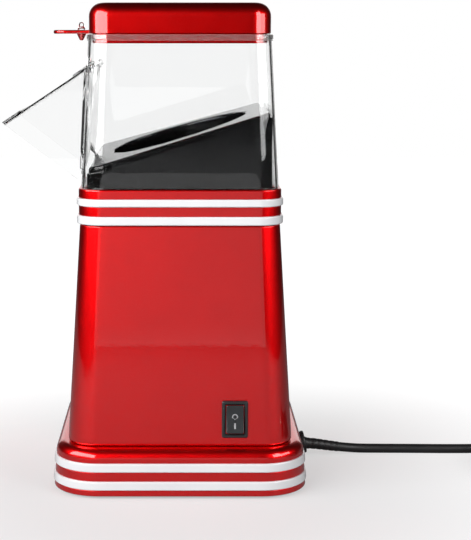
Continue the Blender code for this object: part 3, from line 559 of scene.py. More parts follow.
@dataclass(frozen=True)
class CandyLacquer(Finish):
    """Red metallic lacquer: fine bright flakes in a translucent red under a clear coat.

    Attributes:
        flakes: Flakes per metre.
        flake_colour: The colour of the brightest flakes.
        flake_share: How far the brightest flakes take that colour.
        flake_tilt: Depth of the flakes' relief in metres.
        peel: Repeats per metre of the coat's faint orange peel.
        peel_depth: Depth of the orange peel in metres.
    """

    flakes: float = 5200.0
    flake_colour: Colour = (0.95, 0.05, 0.05)
    flake_share: float = 0.35
    flake_tilt: float = 0.000012
    peel: float = 420.0
    peel_depth: float = 0.000006

    def cells(self, graph: Graph) -> bpy.types.Node:
        """The flakes' own pattern, one cell for each."""
        return graph.add("ShaderNodeTexVoronoi", {"Vector": graph.place}, Scale=self.flakes)

    def paint(self, graph: Graph) -> bpy.types.NodeSocket:
        """The red, lightened where a flake is bright.

        Args:
            graph: The material's node tree.

        Returns:
            The colour.
        """
        bright = self.cells(graph).outputs["Color"]
        share = graph.spread(bright, (0.55, 1.0), 0.0, self.flake_share, soft=False)
        return graph.blend(share, super().paint(graph), self.flake_colour)

    def texture(self, graph: Graph) -> None:
        """Tilt the metal a little at each flake, and give the coat its orange peel."""
        graph.feed("Normal", graph.relief(self.cells(graph).outputs["Distance"], self.flake_tilt))
        graph.feed("Coat Normal", graph.relief(graph.noise(self.peel, 1.0), self.peel_depth))


FINISHES = {finish.slot: finish for finish in (
    CandyLacquer(Slot.RED_PAINT, (0.96, 0.0014, 0.0036), (0.93, 0.0014, 0.0036), (0.33, 0.35), metallic=1.0,
                 coat=1.0),
    CandyLacquer(Slot.RED_GLOSS, (0.60, 0.0010, 0.0012), (0.56, 0.0010, 0.0012), (0.36, 0.38), metallic=1.0,
                 coat=1.0, flakes=6500.0),
    Finish(Slot.WHITE_GLOSS, (0.74, 0.75, 0.765), (0.71, 0.72, 0.74), (0.18, 0.22), coat=0.5, depth=0.000004),
    Finish(Slot.CLEAR_PLASTIC, (0.995, 0.995, 0.995), (0.985, 0.99, 0.99), (0.0, 0.006), patch=18.0,
           grain=60.0, depth=0.000003, transmission=1.0, ior=1.40),
    Finish(Slot.BLACK_PLASTIC, (0.008, 0.0085, 0.009), (0.012, 0.0125, 0.013), (0.09, 0.13), patch=12.0,
           grain=2600.0, depth=0.000006),
    Finish(Slot.SWITCH_PLASTIC, (0.013, 0.015, 0.016), (0.018, 0.021, 0.023), (0.33, 0.39), patch=150.0,
           grain=4000.0, depth=0.000008),
    Finish(Slot.BLACK_RUBBER, (0.012, 0.012, 0.013), (0.026, 0.026, 0.027), (0.60, 0.80), patch=150.0,
           grain=1500.0, depth=0.00003),
    Finish(Slot.CORD_RUBBER, (0.008, 0.008, 0.009), (0.014, 0.014, 0.015), (0.42, 0.50), patch=60.0,
           grain=2200.0, depth=0.000012),
    Finish(Slot.ALUMINIUM, (0.80, 0.81, 0.82), (0.70, 0.71, 0.73), (0.24, 0.34), grain=900.0,
           depth=0.000008, stretch=(1.0, 1.0, 9.0), metallic=1.0),
    Finish(Slot.STEEL, (0.60, 0.60, 0.61), (0.46, 0.47, 0.48), (0.30, 0.44), grain=1100.0, depth=0.000010,
           stretch=(1.0, 1.0, 5.0), metallic=1.0),
    Finish(Slot.BRASS, (0.74, 0.70, 0.60), (0.66, 0.60, 0.48), (0.22, 0.32), patch=200.0, grain=2500.0,
           depth=0.000006, stretch=(1.0, 6.0, 1.0), metallic=1.0),
    Finish(Slot.MICA, (0.55, 0.50, 0.42), (0.42, 0.36, 0.28), (0.45, 0.70), patch=220.0, grain=900.0,
           depth=0.00003),
    Finish(Slot.CIRCUIT_BOARD, (0.03, 0.16, 0.07), (0.02, 0.11, 0.05), (0.35, 0.50), patch=300.0,
           grain=1400.0, depth=0.00002),
)}
MARK_INK = Finish(Slot.WHITE_GLOSS, (0.34, 0.34, 0.35), (0.28, 0.28, 0.29), (0.45, 0.60), patch=400.0)
FROSTED = Finish(Slot.CLEAR_PLASTIC, (0.97, 0.97, 0.97), (0.94, 0.94, 0.94), (0.10, 0.16), patch=60.0,
                 transmission=0.955, ior=1.40)


class Workshop:
    """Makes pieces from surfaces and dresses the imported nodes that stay."""

    BEVEL_ANGLE = math.radians(32.0)     # edges steeper than this get the bevel
    BEVEL_SEGMENTS = 3

    def __init__(self) -> None:
        """Make every finish once."""
        self.materials = {slot: finish.material() for slot, finish in FINISHES.items()}
        self.special = {finish: finish.material() for finish in (MARK_INK, FROSTED)}

    def piece(self, name: str, surface: Surface, body: Body, slot: Slot | Finish,
              replaces: tuple[str, ...] = (), edge: float = 0.0, wall: float = 0.0, weld: bool = False,
              sharp: float = 38.0) -> bpy.types.Object:
        """Finish one piece of the machine.

        Args:
            name: The piece's name.
            surface: Its surface.
            body: The moving body it rides on.
            slot: Its material slot, or a special finish.
            replaces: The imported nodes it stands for.
            edge: Width of a bevel on its sharp edges, or 0.
            wall: Thickness of a wall grown inward from an open surface, or 0.
            weld: Whether equal points are merged.
            sharp: Edges steeper than this many degrees stay sharp.

        Returns:
            The piece.
        """
        mesh = surface.mesh(name, weld)
        mesh.shade_smooth()
        item = bpy.data.objects.new(name, mesh)
        bpy.context.scene.collection.objects.link(item)
        if isinstance(slot, Finish):
            mesh.materials.append(self.special[slot])
            slot = slot.slot
        else:
            mesh.materials.append(self.materials[slot])
        if wall:
            shell = item.modifiers.new("wall", "SOLIDIFY")
            shell.thickness = wall
            shell.offset = -1.0
            shell.use_even_offset = True
        if edge:
            bevel = item.modifiers.new("edges", "BEVEL")
            bevel.width = edge
            bevel.segments = self.BEVEL_SEGMENTS
            bevel.limit_method = "ANGLE"
            bevel.angle_limit = self.BEVEL_ANGLE
            bevel.harden_normals = False
        else:
            mesh.set_sharp_from_angle(angle=math.radians(sharp))
        weighted = item.modifiers.new("normals", "WEIGHTED_NORMAL")
        weighted.keep_sharp = True
        weighted.weight = 50
        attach(item, body.value)
        if replaces:
            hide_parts(*replaces)
        LOG.info("%s: %d faces on %s", name, len(mesh.polygons), body.value)
        return item

    def dress_nodes(self) -> None:
        """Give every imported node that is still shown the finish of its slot."""
        slots = {row["node"]: row["material_slot"] for row in frame["record"]["subparts"]}
        for name, node in frame["nodes"].items():
            if not node.hide_render:
                node.data.materials.clear()
                node.data.materials.append(self.materials[Slot(slots[name])])
                LOG.info("%s: packed node, %s", name, slots[name])


# ---- plinth ----
@dataclass
class Plinth:
    """The square plinth with its two white bands."""

    bottom: float = 0.0015
    top: float = 0.0295
    half: float = 0.0765
    corner: float = 0.028
    taper: float = 0.07
    edge: float = 0.006
    foot_edge: float = 0.0006
    wall: float = 0.0025
    hole_half: float = 0.062
    hole_corner: float = 0.014
    groove: float = 0.0012
    proud: float = 0.0008
    bands: tuple[tuple[str, float, float], ...] = (("lower", 0.0052, 0.0107), ("upper", 0.0160, 0.0215))

    def row(self, height: float, inset: float = 0.0) -> Row:
        """Half width, corner radius and height of the outside at a height, moved in by inset."""
        loss = self.taper * (height - self.bottom) + inset
        return self.half - loss, self.corner - loss, height

    def shell_rows(self) -> np.ndarray:
        """The shell's closed profile: up the outside with its grooves, over the edge, down the inside.

        Returns:
            Rows (half width, corner radius, height).
        """
        rows = [self.row(self.bottom, self.foot_edge), self.row(self.bottom + self.foot_edge)]
        for _, low, high in self.bands:
            rows += [self.row(low), self.row(low, self.groove), self.row(high, self.groove), self.row(high)]
        shoulder = self.top - self.edge
        side, corner, _ = self.row(shoulder)
        rounded = quarter_round(side, corner, self.top, self.edge, 10)
        ceiling = self.top - self.wall
        inside = [(self.hole_half, self.hole_corner, self.top), (self.hole_half, self.hole_corner, ceiling),
                  self.row(ceiling, self.wall + self.edge), self.row(shoulder, self.wall + 0.0004),
                  self.row(self.bottom, self.wall)]
        return np.vstack([rows, rounded, inside])

    def build(self, shop: Workshop) -> None:
        """Make the shell and its bands.

        Args:
            shop: Makes the pieces.
        """
        shop.piece("plinth_shell", Surface().grid(square_rings(self.shell_rows()), wrap_rows=True), Body.BASE,
                   Slot.RED_PAINT, ("base_shell",), edge=0.0003)
        for name, low, high in self.bands:
            rows = band_rows(self.row, low, high, self.proud, self.groove)
            shop.piece(f"plinth_band_{name}", Surface().grid(square_rings(rows), wrap_rows=True), Body.BASE,
                       Slot.WHITE_GLOSS, (f"base_band_{name}",))


def band_rows(row: Callable[[float, float], Row], low: float, high: float, proud: float,
              groove: float) -> np.ndarray:
    """The closed profile of a band that fills a groove and stands proud with rounded edges.

    Each rounded edge is a quarter circle, low + r (1 - cos a) and r (1 - sin a) - proud, or its mirror image.

    Args:
        row: Gives the carrier's outside at a height and inset.
        low: The groove's lower side.
        high: The groove's upper side.
        proud: How far the band stands out.
        groove: The groove's depth.

    Returns:
        Profile rows (half width, corner radius, height).
    """
    low, high = low + GAP / 3, high - GAP / 3
    angle = np.linspace(0.0, math.pi / 2, 6)
    rise, fall = BAND_EDGE * (1.0 - np.cos(angle)), BAND_EDGE * (1.0 - np.sin(angle))
    lower = [row(low + up, back - proud) for up, back in zip(rise, fall)]
    upper = [row(high - down, back - proud) for down, back in zip(fall, rise)]
    return np.array([row(low, groove - GAP), *lower, *upper, row(high, groove - GAP)])


# ---- body and collar ----
@dataclass
class Casing:
    """The tapered body, and the collar with its two white bands."""

    bottom: float = 0.0298
    top: float = 0.1610
    half: float = 0.0676
    taper: float = 0.0621
    corner: float = 0.017
    corner_taper: float = 0.024
    wall: float = 0.0022
    collar_bottom: float = 0.1613
    collar_top: float = 0.1822
    collar_half: float = 0.0600
    collar_corner: float = 0.0140
    bore: float = 0.0575
    bore_corner: float = 0.0120
    seat: float = 0.0562
    seat_corner: float = 0.0112
    rim: float = 0.0009
    neck: float = 0.0571
    neck_corner: float = 0.0115
    neck_wall: float = 0.0018
    neck_height: float = 0.0045
    groove: float = 0.0012
    proud: float = 0.0012
    bands: tuple[tuple[str, float, float], ...] = (("lower", 0.1612, 0.1665), ("upper", 0.1720, 0.1767))

    def row(self, height: float, inset: float = 0.0) -> Row:
        """The body's half width, corner radius and height, moved in by inset."""
        rise = height - self.bottom
        return self.half - self.taper * rise - inset, self.corner - self.corner_taper * rise - inset, height

    def collar_row(self, height: float, inset: float = 0.0) -> Row:
        """The collar's half width, corner radius and height, moved in by inset."""
        return self.collar_half - inset, self.collar_corner - inset, height

    def body_rows(self) -> np.ndarray:
        """The body's closed profile: up the outside, over the neck that carries the collar, down the inside.

        Returns:
            Rows (half width, corner radius, height).
        """
        neck_top = self.collar_bottom + self.neck_height
        bore, bore_corner = self.neck - self.neck_wall, self.neck_corner - self.neck_wall
        side = [self.row(height) for height in np.linspace(self.bottom + 0.004, self.top - 0.004, 6)]
        return np.array([
            self.row(self.bottom, 0.0014), self.row(self.bottom + 0.0005, 0.0004),
            self.row(self.bottom + 0.0017), *side,
            self.row(self.top - 0.0006), self.row(self.top, 0.0006), (self.neck, self.neck_corner, self.top),
            (self.neck, self.neck_corner, neck_top), (bore, bore_corner, neck_top),
            (bore, bore_corner, self.top - 0.004), self.row(self.top - 0.006, self.wall),
            self.row(self.bottom + 0.004, self.wall), self.row(self.bottom, self.wall)])

    def collar_rows(self) -> np.ndarray:
        """The collar's closed profile: up the outside with its two grooves, over the rim, down the bore.

        Returns:
            Rows (half width, corner radius, height).
        """
        neck_top = self.collar_bottom + self.neck_height
        (_, _, low_top), (_, high_low, high_top) = self.bands
        return np.array([
            self.collar_row(self.collar_bottom, self.groove), self.collar_row(low_top, self.groove),
            self.collar_row(low_top), self.collar_row(high_low), self.collar_row(high_low, self.groove),
            self.collar_row(high_top, self.groove), self.collar_row(high_top),
            *quarter_round(self.collar_half, self.collar_corner, self.collar_top, self.rim, 5),
            (self.seat, self.seat_corner, self.collar_top), (self.seat, self.seat_corner, neck_top + 0.004),
            (self.bore, self.bore_corner, neck_top + 0.002),
            (self.bore, self.bore_corner, self.collar_bottom)])

    def build(self, shop: Workshop) -> None:
        """Make the body, the collar and its bands.

        Args:
            shop: Makes the pieces.
        """
        body = Surface().grid(square_rings(self.body_rows()), wrap_rows=True)
        shop.piece("casing_shell", body, Body.BASE, Slot.RED_PAINT, ("body_shell",), edge=0.0003)
        collar = Surface().grid(square_rings(self.collar_rows()), wrap_rows=True)
        shop.piece("collar", collar, Body.BASE, Slot.RED_PAINT, ("collar_ring",), edge=0.0002)
        for name, low, high in self.bands:
            rows = band_rows(self.collar_row, low, high, self.proud, self.groove)
            shop.piece(f"collar_trim_{name}", Surface().grid(square_rings(rows), wrap_rows=True), Body.BASE,
                       Slot.WHITE_GLOSS, (f"collar_band_{name}",))


# ---- hood, flap and cap ----
@dataclass
class Hood:
    """The clear hood with its front outlet, and the flap's pins."""

    bottom: float = 0.1825
    top: float = 0.2717
    half: float = 0.0584
    taper: float = 0.0540
    corner: float = 0.0135
    corner_taper: float = 0.012
    wall: float = 0.0015
    outlet_half: float = 0.0450
    outlet_bottom: float = 0.1870
    outlet_top: float = 0.2558
    outlet_corner: float = 0.0050
    rims: tuple[tuple[str, float, float, float], ...] = (
        ("upper", 0.2688, 0.2716, 0.0009), ("lower", 0.2680, 0.2686, 0.0006))
    rim_edge: float = 0.0002
    hinge: tuple[float, float] = (-0.0514, 0.2529)
    lug: tuple[float, float, float] = (0.0020, 0.0032, 0.0012)
    lug_thick: float = 0.0030
    lug_place: tuple[float, float] = (0.0006, 0.0467)
    pin: tuple[float, float] = (0.0010, 0.0030)
    pin_chamfer: float = 0.0002
    pin_side: float = 0.0445

    def half_at(self, height: np.ndarray | float) -> np.ndarray | float:
        """Half the hood's width at a height."""
        return self.half - self.taper * (height - self.bottom)

    def corner_at(self, height: np.ndarray | float) -> np.ndarray | float:
        """The corner radius at a height."""
        return self.corner - self.corner_taper * (height - self.bottom)

    def walls(self) -> Surface:
        """Three walls and four corners as one grid, and the front wall as a frame round the outlet.

        The front wall's rings go from the wall's own border to the rounded outlet, by straight blending.

        Returns:
            The outside of the hood.
        """
        heights = np.linspace(self.bottom, self.top, 9)
        rings = square_rings(np.stack([self.half_at(heights), self.corner_at(heights), heights], axis=1))
        per_side = CORNER_STEPS + 1 + len(SIDE_SHARES)
        # the ring starts at the +X side; its second straight side, the one at -X, follows its second corner
        first = per_side + CORNER_STEPS
        last = 2 * per_side
        around = np.roll(rings, -last, axis=1)
        surface = Surface().grid(around[:, :around.shape[1] - (last - first) + 1], wrap_columns=False)
        border_columns = rings[:, first:last + 1]
        border = np.concatenate([border_columns[0], border_columns[1:-1, -1], border_columns[-1, ::-1],
                                 border_columns[1:-1, 0][::-1]])
        middle = (self.outlet_bottom + self.outlet_top) / 2
        half_height = (self.outlet_top - self.outlet_bottom) / 2
        hole = rounded_rectangle(self.outlet_half, half_height, self.outlet_corner, 6)[0]
        hole_way = np.arctan2(hole[:, 1] / half_height, hole[:, 0] / self.outlet_half)
        way = np.arctan2((border[:, 2] - middle) / half_height, -border[:, 1] / self.outlet_half)
        order = np.argsort(hole_way)
        across = np.interp(way, hole_way[order], hole[order, 0], period=math.tau)
        up = np.interp(way, hole_way[order], hole[order, 1], period=math.tau)
        inner = np.stack([-self.half_at(middle + up), -across, middle + up], axis=1)
        share = np.linspace(0.0, 1.0, 5)[:, None, None]
        front = border[None] * (1.0 - share) + inner[None] * share
        return surface.grid(front)

    def rim_rows(self, low: float, high: float, proud: float) -> np.ndarray:
        """A rim's closed profile: a flat band on the wall, with bevelled edges.

        Args:
            low: Height of its lower edge.
            high: Height of its upper edge.
            proud: How far it stands out.

        Returns:
            Rows (half width, corner radius, height).
        """
        bevel = proud * 0.6
        rim = np.array([(low, 0.0), (low, bevel), (low + self.rim_edge, proud), (high - self.rim_edge, proud),
                        (high, bevel), (high, 0.0)])
        height, out = rim[:, 0], rim[:, 1]
        return np.stack([self.half_at(height) + GAP / 3 + out, self.corner_at(height) + out, height], axis=1)

    def build(self, shop: Workshop) -> None:
        """Make the hood, its rims, its lugs and the hinge pins.

        Args:
            shop: Makes the pieces.
        """
        shop.piece("hood_shell", self.walls(), Body.HOOD, Slot.CLEAR_PLASTIC, ("clear_hood",), wall=self.wall,
                   edge=0.00025, weld=True)
        for name, low, high, proud in self.rims:
            rim = Surface().grid(square_rings(self.rim_rows(low, high, proud)), wrap_rows=True)
            shop.piece(f"hood_rim_{name}", rim, Body.HOOD, FROSTED)
        for name, side in (("near", -1.0), ("far", 1.0)):
            self.build_hinge(shop, name, side)

    def build_hinge(self, shop: Workshop, name: str, side: float) -> None:
        """Make one lug on the hood and the pin through it.

        Args:
            shop: Makes the pieces.
            name: The side's name.
            side: -1 on the near side and 1 on the far one.
        """
        x, z = self.hinge
        lug_x, lug_y = self.lug_place
        outline = rounded_rectangle(*self.lug, 5)[0]
        # the slab is laid on its side: its thickness runs along Y
        lug = put(slab(outline, self.lug_thick, 0.0004)[..., [0, 2, 1]] * np.array([1.0, -1.0, 1.0]),
                  frame_of((x + lug_x, side * lug_y, z)))
        shop.piece(f"hinge_lug_{name}", Surface().grid(lug, first_cap=True, last_cap=True), Body.HOOD,
                   Slot.CLEAR_PLASTIC)
        radius, half_length = self.pin
        end, side_end = radius - self.pin_chamfer, half_length - self.pin_chamfer
        pin = np.array([(0.0002, -half_length), (end, -half_length), (radius, -side_end), (radius, side_end),
                        (end, half_length), (0.0002, half_length)])
        turned = put(lathe(pin, 20), frame_of((x, side * self.pin_side, z), tilt_x=math.pi / 2))
        shop.piece(f"hinge_pin_{name}", Surface().grid(turned, first_cap=True, last_cap=True), Body.HOOD,
                   Slot.STEEL, (f"flap_pin_{name}",))


@dataclass
class Flap:
    """The awning flap: a clear panel with a wing at each side, one sheet folded at two rounded corners."""

    hinge: tuple[float, float] = Hood.hinge
    slope: float = math.radians(33.4)
    length: float = 0.0622
    half: float = 0.0440
    thick: float = 0.0013
    face: float = 0.0014
    reach: float = 0.0680
    lean: float = math.radians(6.3)
    fold: float = 0.0014
    behind: float = 0.0020
    rear_start: tuple[float, float] = (-0.0022, -0.0022)
    tip_share: float = 0.035
    rounding: float = 0.0030
    rounding_depth: float = 0.0010
    rib_height: float = 0.0008
    ribs: tuple[tuple[str, float, float], ...] = (("hinge", 0.0010, 0.0125), ("tip", 0.0500, 0.0628))

    def point(self, along: np.ndarray, out: np.ndarray | float) -> np.ndarray:
        """Points of the upright plane, measured along the panel's slope.

        Args:
            along: Distances down the slope from the hinge.
            out: Distances outward from the hinge's level.

        Returns:
            An array (..., 2) of x and z.
        """
        x = self.hinge[0] - along * math.cos(self.slope) - out * math.sin(self.slope)
        z = self.hinge[1] - along * math.sin(self.slope) + out * math.cos(self.slope)
        return np.stack([x + 0.0 * z, z + 0.0 * x], axis=-1)

    def sheet(self) -> Surface:
        """The flap's outer face: wing, fold, panel, fold, wing.

        A column runs from a point of the panel's line to the matching point of the wing's border, which goes
        down the wing's rear edge and along its lower edge to the tip. The fold is a quarter circle.

        Returns:
            The outer face.
        """
        share = np.linspace(0.0, 1.0, 33)
        top = self.point(-self.behind + share * (self.length + self.behind), self.face)
        corner = np.array([self.hinge[0] - self.reach * math.sin(self.lean),
                           self.hinge[1] - self.reach * math.cos(self.lean)])
        start = self.point(np.array(self.rear_start[0]), self.rear_start[1])
        tip = top[-1] + (corner - top[-1]) * self.tip_share
        rear, lower = np.linalg.norm(corner - start), np.linalg.norm(tip - corner)
        travelled = share * (rear + lower)
        soften = np.exp(-((travelled - rear) / self.rounding) ** 2)[:, None] * self.rounding_depth
        inward = (start + tip) / 2 - corner
        inward /= np.linalg.norm(inward)
        down = start + (corner - start) * np.clip(travelled / rear, 0.0, 1.0)[:, None]
        back = (tip - corner) * np.clip((travelled - rear) / lower, 0.0, 1.0)[:, None]
        border = down + back + soften * inward
        way = border - top
        reach = np.linalg.norm(way, axis=1, keepdims=True)
        way /= reach
        fold = np.minimum(self.fold, reach * 0.5)
        rows = []
        for step in np.linspace(1.0, 0.0, 9):
            rows.append((top + way * (fold + (reach - fold) * step), np.full(len(share), self.half)))
        for angle in np.linspace(0.0, math.pi / 2, 9)[1:]:
            rows.append((top + way * fold * (1.0 - math.sin(angle)),
                         self.half - fold[:, 0] * (1.0 - math.cos(angle))))
        for step in np.linspace(1.0, 0.0, 7)[1:]:
            rows.append((top, (self.half - fold[:, 0]) * step))
        half = [np.stack([flat[:, 0], -wide, flat[:, 1]], axis=-1) for flat, wide in rows]
        other = [row * np.array([1.0, -1.0, 1.0]) for row in half[-2::-1]]
        return Surface().grid(np.stack(half + other)[:, ::-1], wrap_columns=False)

    def build(self, shop: Workshop) -> None:
        """Make the flap and the two raised ribs across its panel.

        Args:
            shop: Makes the pieces.
        """
        shop.piece("flap_sheet", self.sheet(), Body.FLAP, Slot.CLEAR_PLASTIC, ("outlet_flap",),
                   wall=self.thick, edge=0.0003)
        for name, start, stop in self.ribs:
            outline = rounded_rectangle((stop - start) / 2, self.half - self.fold, 0.0015, 4)[0]
            middle = self.point(np.array((start + stop) / 2), self.face + 0.0006)
            rib = put(slab(outline, self.rib_height, 0.0003),
                      frame_of((middle[0], 0.0, middle[1]), tilt_y=-self.slope))
            shop.piece(f"flap_rib_{name}", Surface().grid(rib, first_cap=True, last_cap=True), Body.FLAP,
                       Slot.CLEAR_PLASTIC)


@dataclass
class Cap:
    """The measuring cap, its handle and the pip on it."""

    bottom: float = 0.2720
    top: float = 0.2900
    half: float = 0.0533
    corner: float = 0.0125
    edge: float = 0.0080
    wall: float = 0.0020
    skirt_bottom: float = 0.2665
    skirt: float = 0.05116
    handle_level: float = 0.2731
    handle_thick: float = 0.0023
    handle_half: float = 0.0110
    handle_tip: float = -0.0772
    handle_end: float = -0.0524
    handle_radius: float = 0.0070
    skirt_wall: float = 0.0018
    skirt_corner: float = 0.0098
    pip: float = -0.0604
    boss_profile: tuple[tuple[float, float], ...] = (
        (0.0002, -0.0052), (0.0009, -0.0051), (0.0013, -0.0046), (0.0019, -0.0034), (0.0025, -0.0021),
        (0.0030, -0.0010), (0.0035, 0.0))
    pip_profile: tuple[tuple[float, float], ...] = (
        (0.0026, 0.0), (0.0021, 0.0010), (0.0017, 0.0025), (0.0015, 0.0034), (0.0012, 0.0041),
        (0.0008, 0.0045), (0.0002, 0.0046))

    def shell_rows(self) -> np.ndarray:
        """The cup's open profile.

        It goes from the ceiling's middle, down the inside, up the skirt and the side, to the top's middle.

        Returns:
            Rows (half width, corner radius, height).
        """
        inner, corner = self.skirt - self.skirt_wall, self.skirt_corner
        ceiling = self.top - self.wall
        inside = [(0.0030, 0.0004, ceiling), (inner - 0.0060, 0.0040, ceiling),
                  (inner - 0.0018, 0.0068, ceiling - 0.0016), (inner, 0.0080, ceiling - 0.0050),
                  (inner, 0.0080, self.skirt_bottom + 0.0004), (inner + 0.0004, 0.0084, self.skirt_bottom),
                  (self.skirt - 0.0004, corner - 0.0004, self.skirt_bottom),
                  (self.skirt, corner, self.skirt_bottom + 0.0004), (self.skirt, corner, self.bottom),
                  (self.half - 0.0005, self.corner - 0.0005, self.bottom),
                  (self.half, self.corner, self.bottom + 0.0005),
                  (self.half, self.corner, self.bottom + 0.0040)]
        side = quarter_round(self.half, self.corner, self.top, self.edge, 12)
        flat = np.linspace(self.half - self.edge - 0.002, 0.0020, 6)
        crown_corner = self.corner - self.edge - 0.002
        crown = [(half, max(half * 0.1, crown_corner), self.top) for half in flat]
        return np.vstack([inside, side, crown])

    def handle_outline(self) -> np.ndarray:
        """The handle's plan: a tongue with straight sides and a quarter circle at each outer corner.

        Returns:
            An array (points, 2), anticlockwise from above.
        """
        angle = np.linspace(0.0, math.pi / 2, 9)
        centre_x, centre_y = self.handle_tip + self.handle_radius, self.handle_half - self.handle_radius
        far_corner = np.stack([centre_x - self.handle_radius * np.sin(angle),
                               centre_y + self.handle_radius * np.cos(angle)], axis=1)
        straight = np.linspace(self.handle_end, centre_x, 6)[:-1]
        far = np.stack([straight, np.full(len(straight), self.handle_half)], axis=1)
        upper = np.vstack([far, far_corner])
        return np.vstack([upper, upper[::-1] * np.array([1.0, -1.0])])

    def build(self, shop: Workshop) -> None:
        """Make the cup, the handle with its boss, and the pip.

        Args:
            shop: Makes the pieces.
        """
        cup = Surface().grid(square_rings(self.shell_rows()), first_cap=True, last_cap=True)
        shop.piece("cap_shell", cup, Body.CAP, Slot.RED_GLOSS, ("measuring_cap",))
        plate = slab(self.handle_outline(), self.handle_thick, 0.0009, 5)
        tab = Surface().grid(plate + np.array([0.0, 0.0, self.handle_level]), first_cap=True, last_cap=True)
        boss = lathe(np.array(self.boss_profile), 36) + np.array([self.pip, 0.0, self.handle_level])
        tab.grid(boss, first_cap=True, last_cap=True)
        shop.piece("cap_tab", tab, Body.CAP, Slot.RED_GLOSS, ("cap_handle",))
        base = self.handle_level + self.handle_thick / 2 + GAP / 3
        pip = lathe(np.array(self.pip_profile), 36) + np.array([self.pip, 0.0, base])
        shop.piece("cap_pip", Surface().grid(pip, first_cap=True, last_cap=True), Body.CAP,
                   Slot.CLEAR_PLASTIC, ("cap_grip",))


# ---- insert and chamber ----
@dataclass
class Insert:
    """The black insert: a square box with a sloped top and a round mouth over the popping chamber."""

    bottom: float = 0.1765
    half: float = 0.0553
    corner: float = 0.0115
    slope: float = math.radians(17.2)
    middle: float = 0.2105
    mouth: float = 0.0416
    mouth_edge: float = 0.0008
    mouth_depth: float = 0.0200
    lip: float = 0.0032
    step: float = 0.0011
    step_edge: float = 0.0012
    plate_half: float = 0.053
    far_rise: float = 0.0032
    far_twist: float = 0.040
    play: float = 0.0026
    hood: Hood = field(default_factory=Hood)

    def level(self, plan: np.ndarray) -> np.ndarray:
        """The sloped top's height: it climbs along x, and a little to the far side, most at the low end.

        Args:
            plan: An array (points, 2).

        Returns:
            The height at each point.
        """
        across = (plan[:, 1] + self.plate_half) / (2.0 * self.plate_half)
        slope = plan[:, 0] * math.tan(self.slope)
        return self.middle + slope + across * (self.far_rise - self.far_twist * plan[:, 0])

    def height_at(self, plan: np.ndarray, drop: float | None) -> np.ndarray:
        """The height a given drop under the sloped top, or the insert's bottom where drop is None."""
        return np.full(len(plan), self.bottom) if drop is None else self.level(plan) - drop

    def half_at(self, height: np.ndarray) -> np.ndarray:
        """Half the insert's width at a height, kept clear of the hood's inside."""
        return np.minimum(self.half, self.hood.half_at(height) - self.play)

    def ring(self, inset: float, drop: float | None) -> np.ndarray:
        """A square ring of the outside, narrowed where the hood is narrow.

        The width and the slope's height depend on each other, so that they are settled in a few rounds.

        Args:
            inset: How far it is moved in.
            drop: How far it lies under the sloped top, or None at the bottom.

        Returns:
            An array (points, 3).
        """
        plan = rounded_rectangle(self.half - inset, self.half - inset, self.corner - inset)[0]
        for _ in range(3):
            height = self.height_at(plan, drop)
            half = self.half_at(height) - inset
            plan = plan * (half / np.maximum(np.abs(plan).max(axis=1), 1e-9)).clip(0.0, 1.0)[:, None]
        return np.column_stack([plan, height])

    def circle(self, radius: float, drop: float | None) -> np.ndarray:
        """A ring of the mouth, with its points at the square rings' bearings.

        Args:
            radius: Its radius.
            drop: How far it lies under the sloped top, or None at the bottom.

        Returns:
            An array (points, 3).
        """
        plan = rounded_rectangle(self.half, self.half, self.corner)[0]
        bearing = np.arctan2(plan[:, 1], plan[:, 0])
        plan = radius * np.column_stack([np.cos(bearing), np.sin(bearing)])
        return np.column_stack([plan, self.height_at(plan, drop)])

    def skin(self) -> np.ndarray:
        """One closed grid: up the outside, in over the stepped lip, across the slope, down through the mouth.

        Each row of the plate is a blend between the outer square ring and the mouth's circle at the same
        bearing, so that every row keeps the same number of points.

        Returns:
            A grid (rows, points, 3).
        """
        outer_top = self.ring(self.step + self.step_edge, 0.0)
        mouth_top = self.circle(self.mouth + self.mouth_edge, 0.0)
        plate = [outer_top * (1.0 - share) + mouth_top * share for share in (0.0, 0.08, 0.5, 0.92, 1.0)]
        outside = [self.ring(inset, drop) for inset, drop in (
            (0.0, None), (0.0, self.lip + 0.0008), (0.0003, self.lip + 0.0002), (0.0007, self.lip),
            (self.step, self.lip), (self.step, self.step_edge), (self.step + 0.0003, 0.0005))]
        inside = [self.circle(self.mouth + out, drop) for out, drop in (
            (0.0002, 0.0003), (0.0, self.mouth_edge), (0.0, 2.0 * self.mouth_edge), (0.0, self.mouth_depth),
            (0.0, None))]
        return np.stack([*outside, *plate, *inside])

    def build(self, shop: Workshop) -> None:
        """Make the insert.

        Args:
            shop: Makes the pieces.
        """
        shop.piece("ramp_insert", Surface().grid(self.skin(), wrap_rows=True), Body.HOOD, Slot.BLACK_PLASTIC,
                   ("chute_insert",))


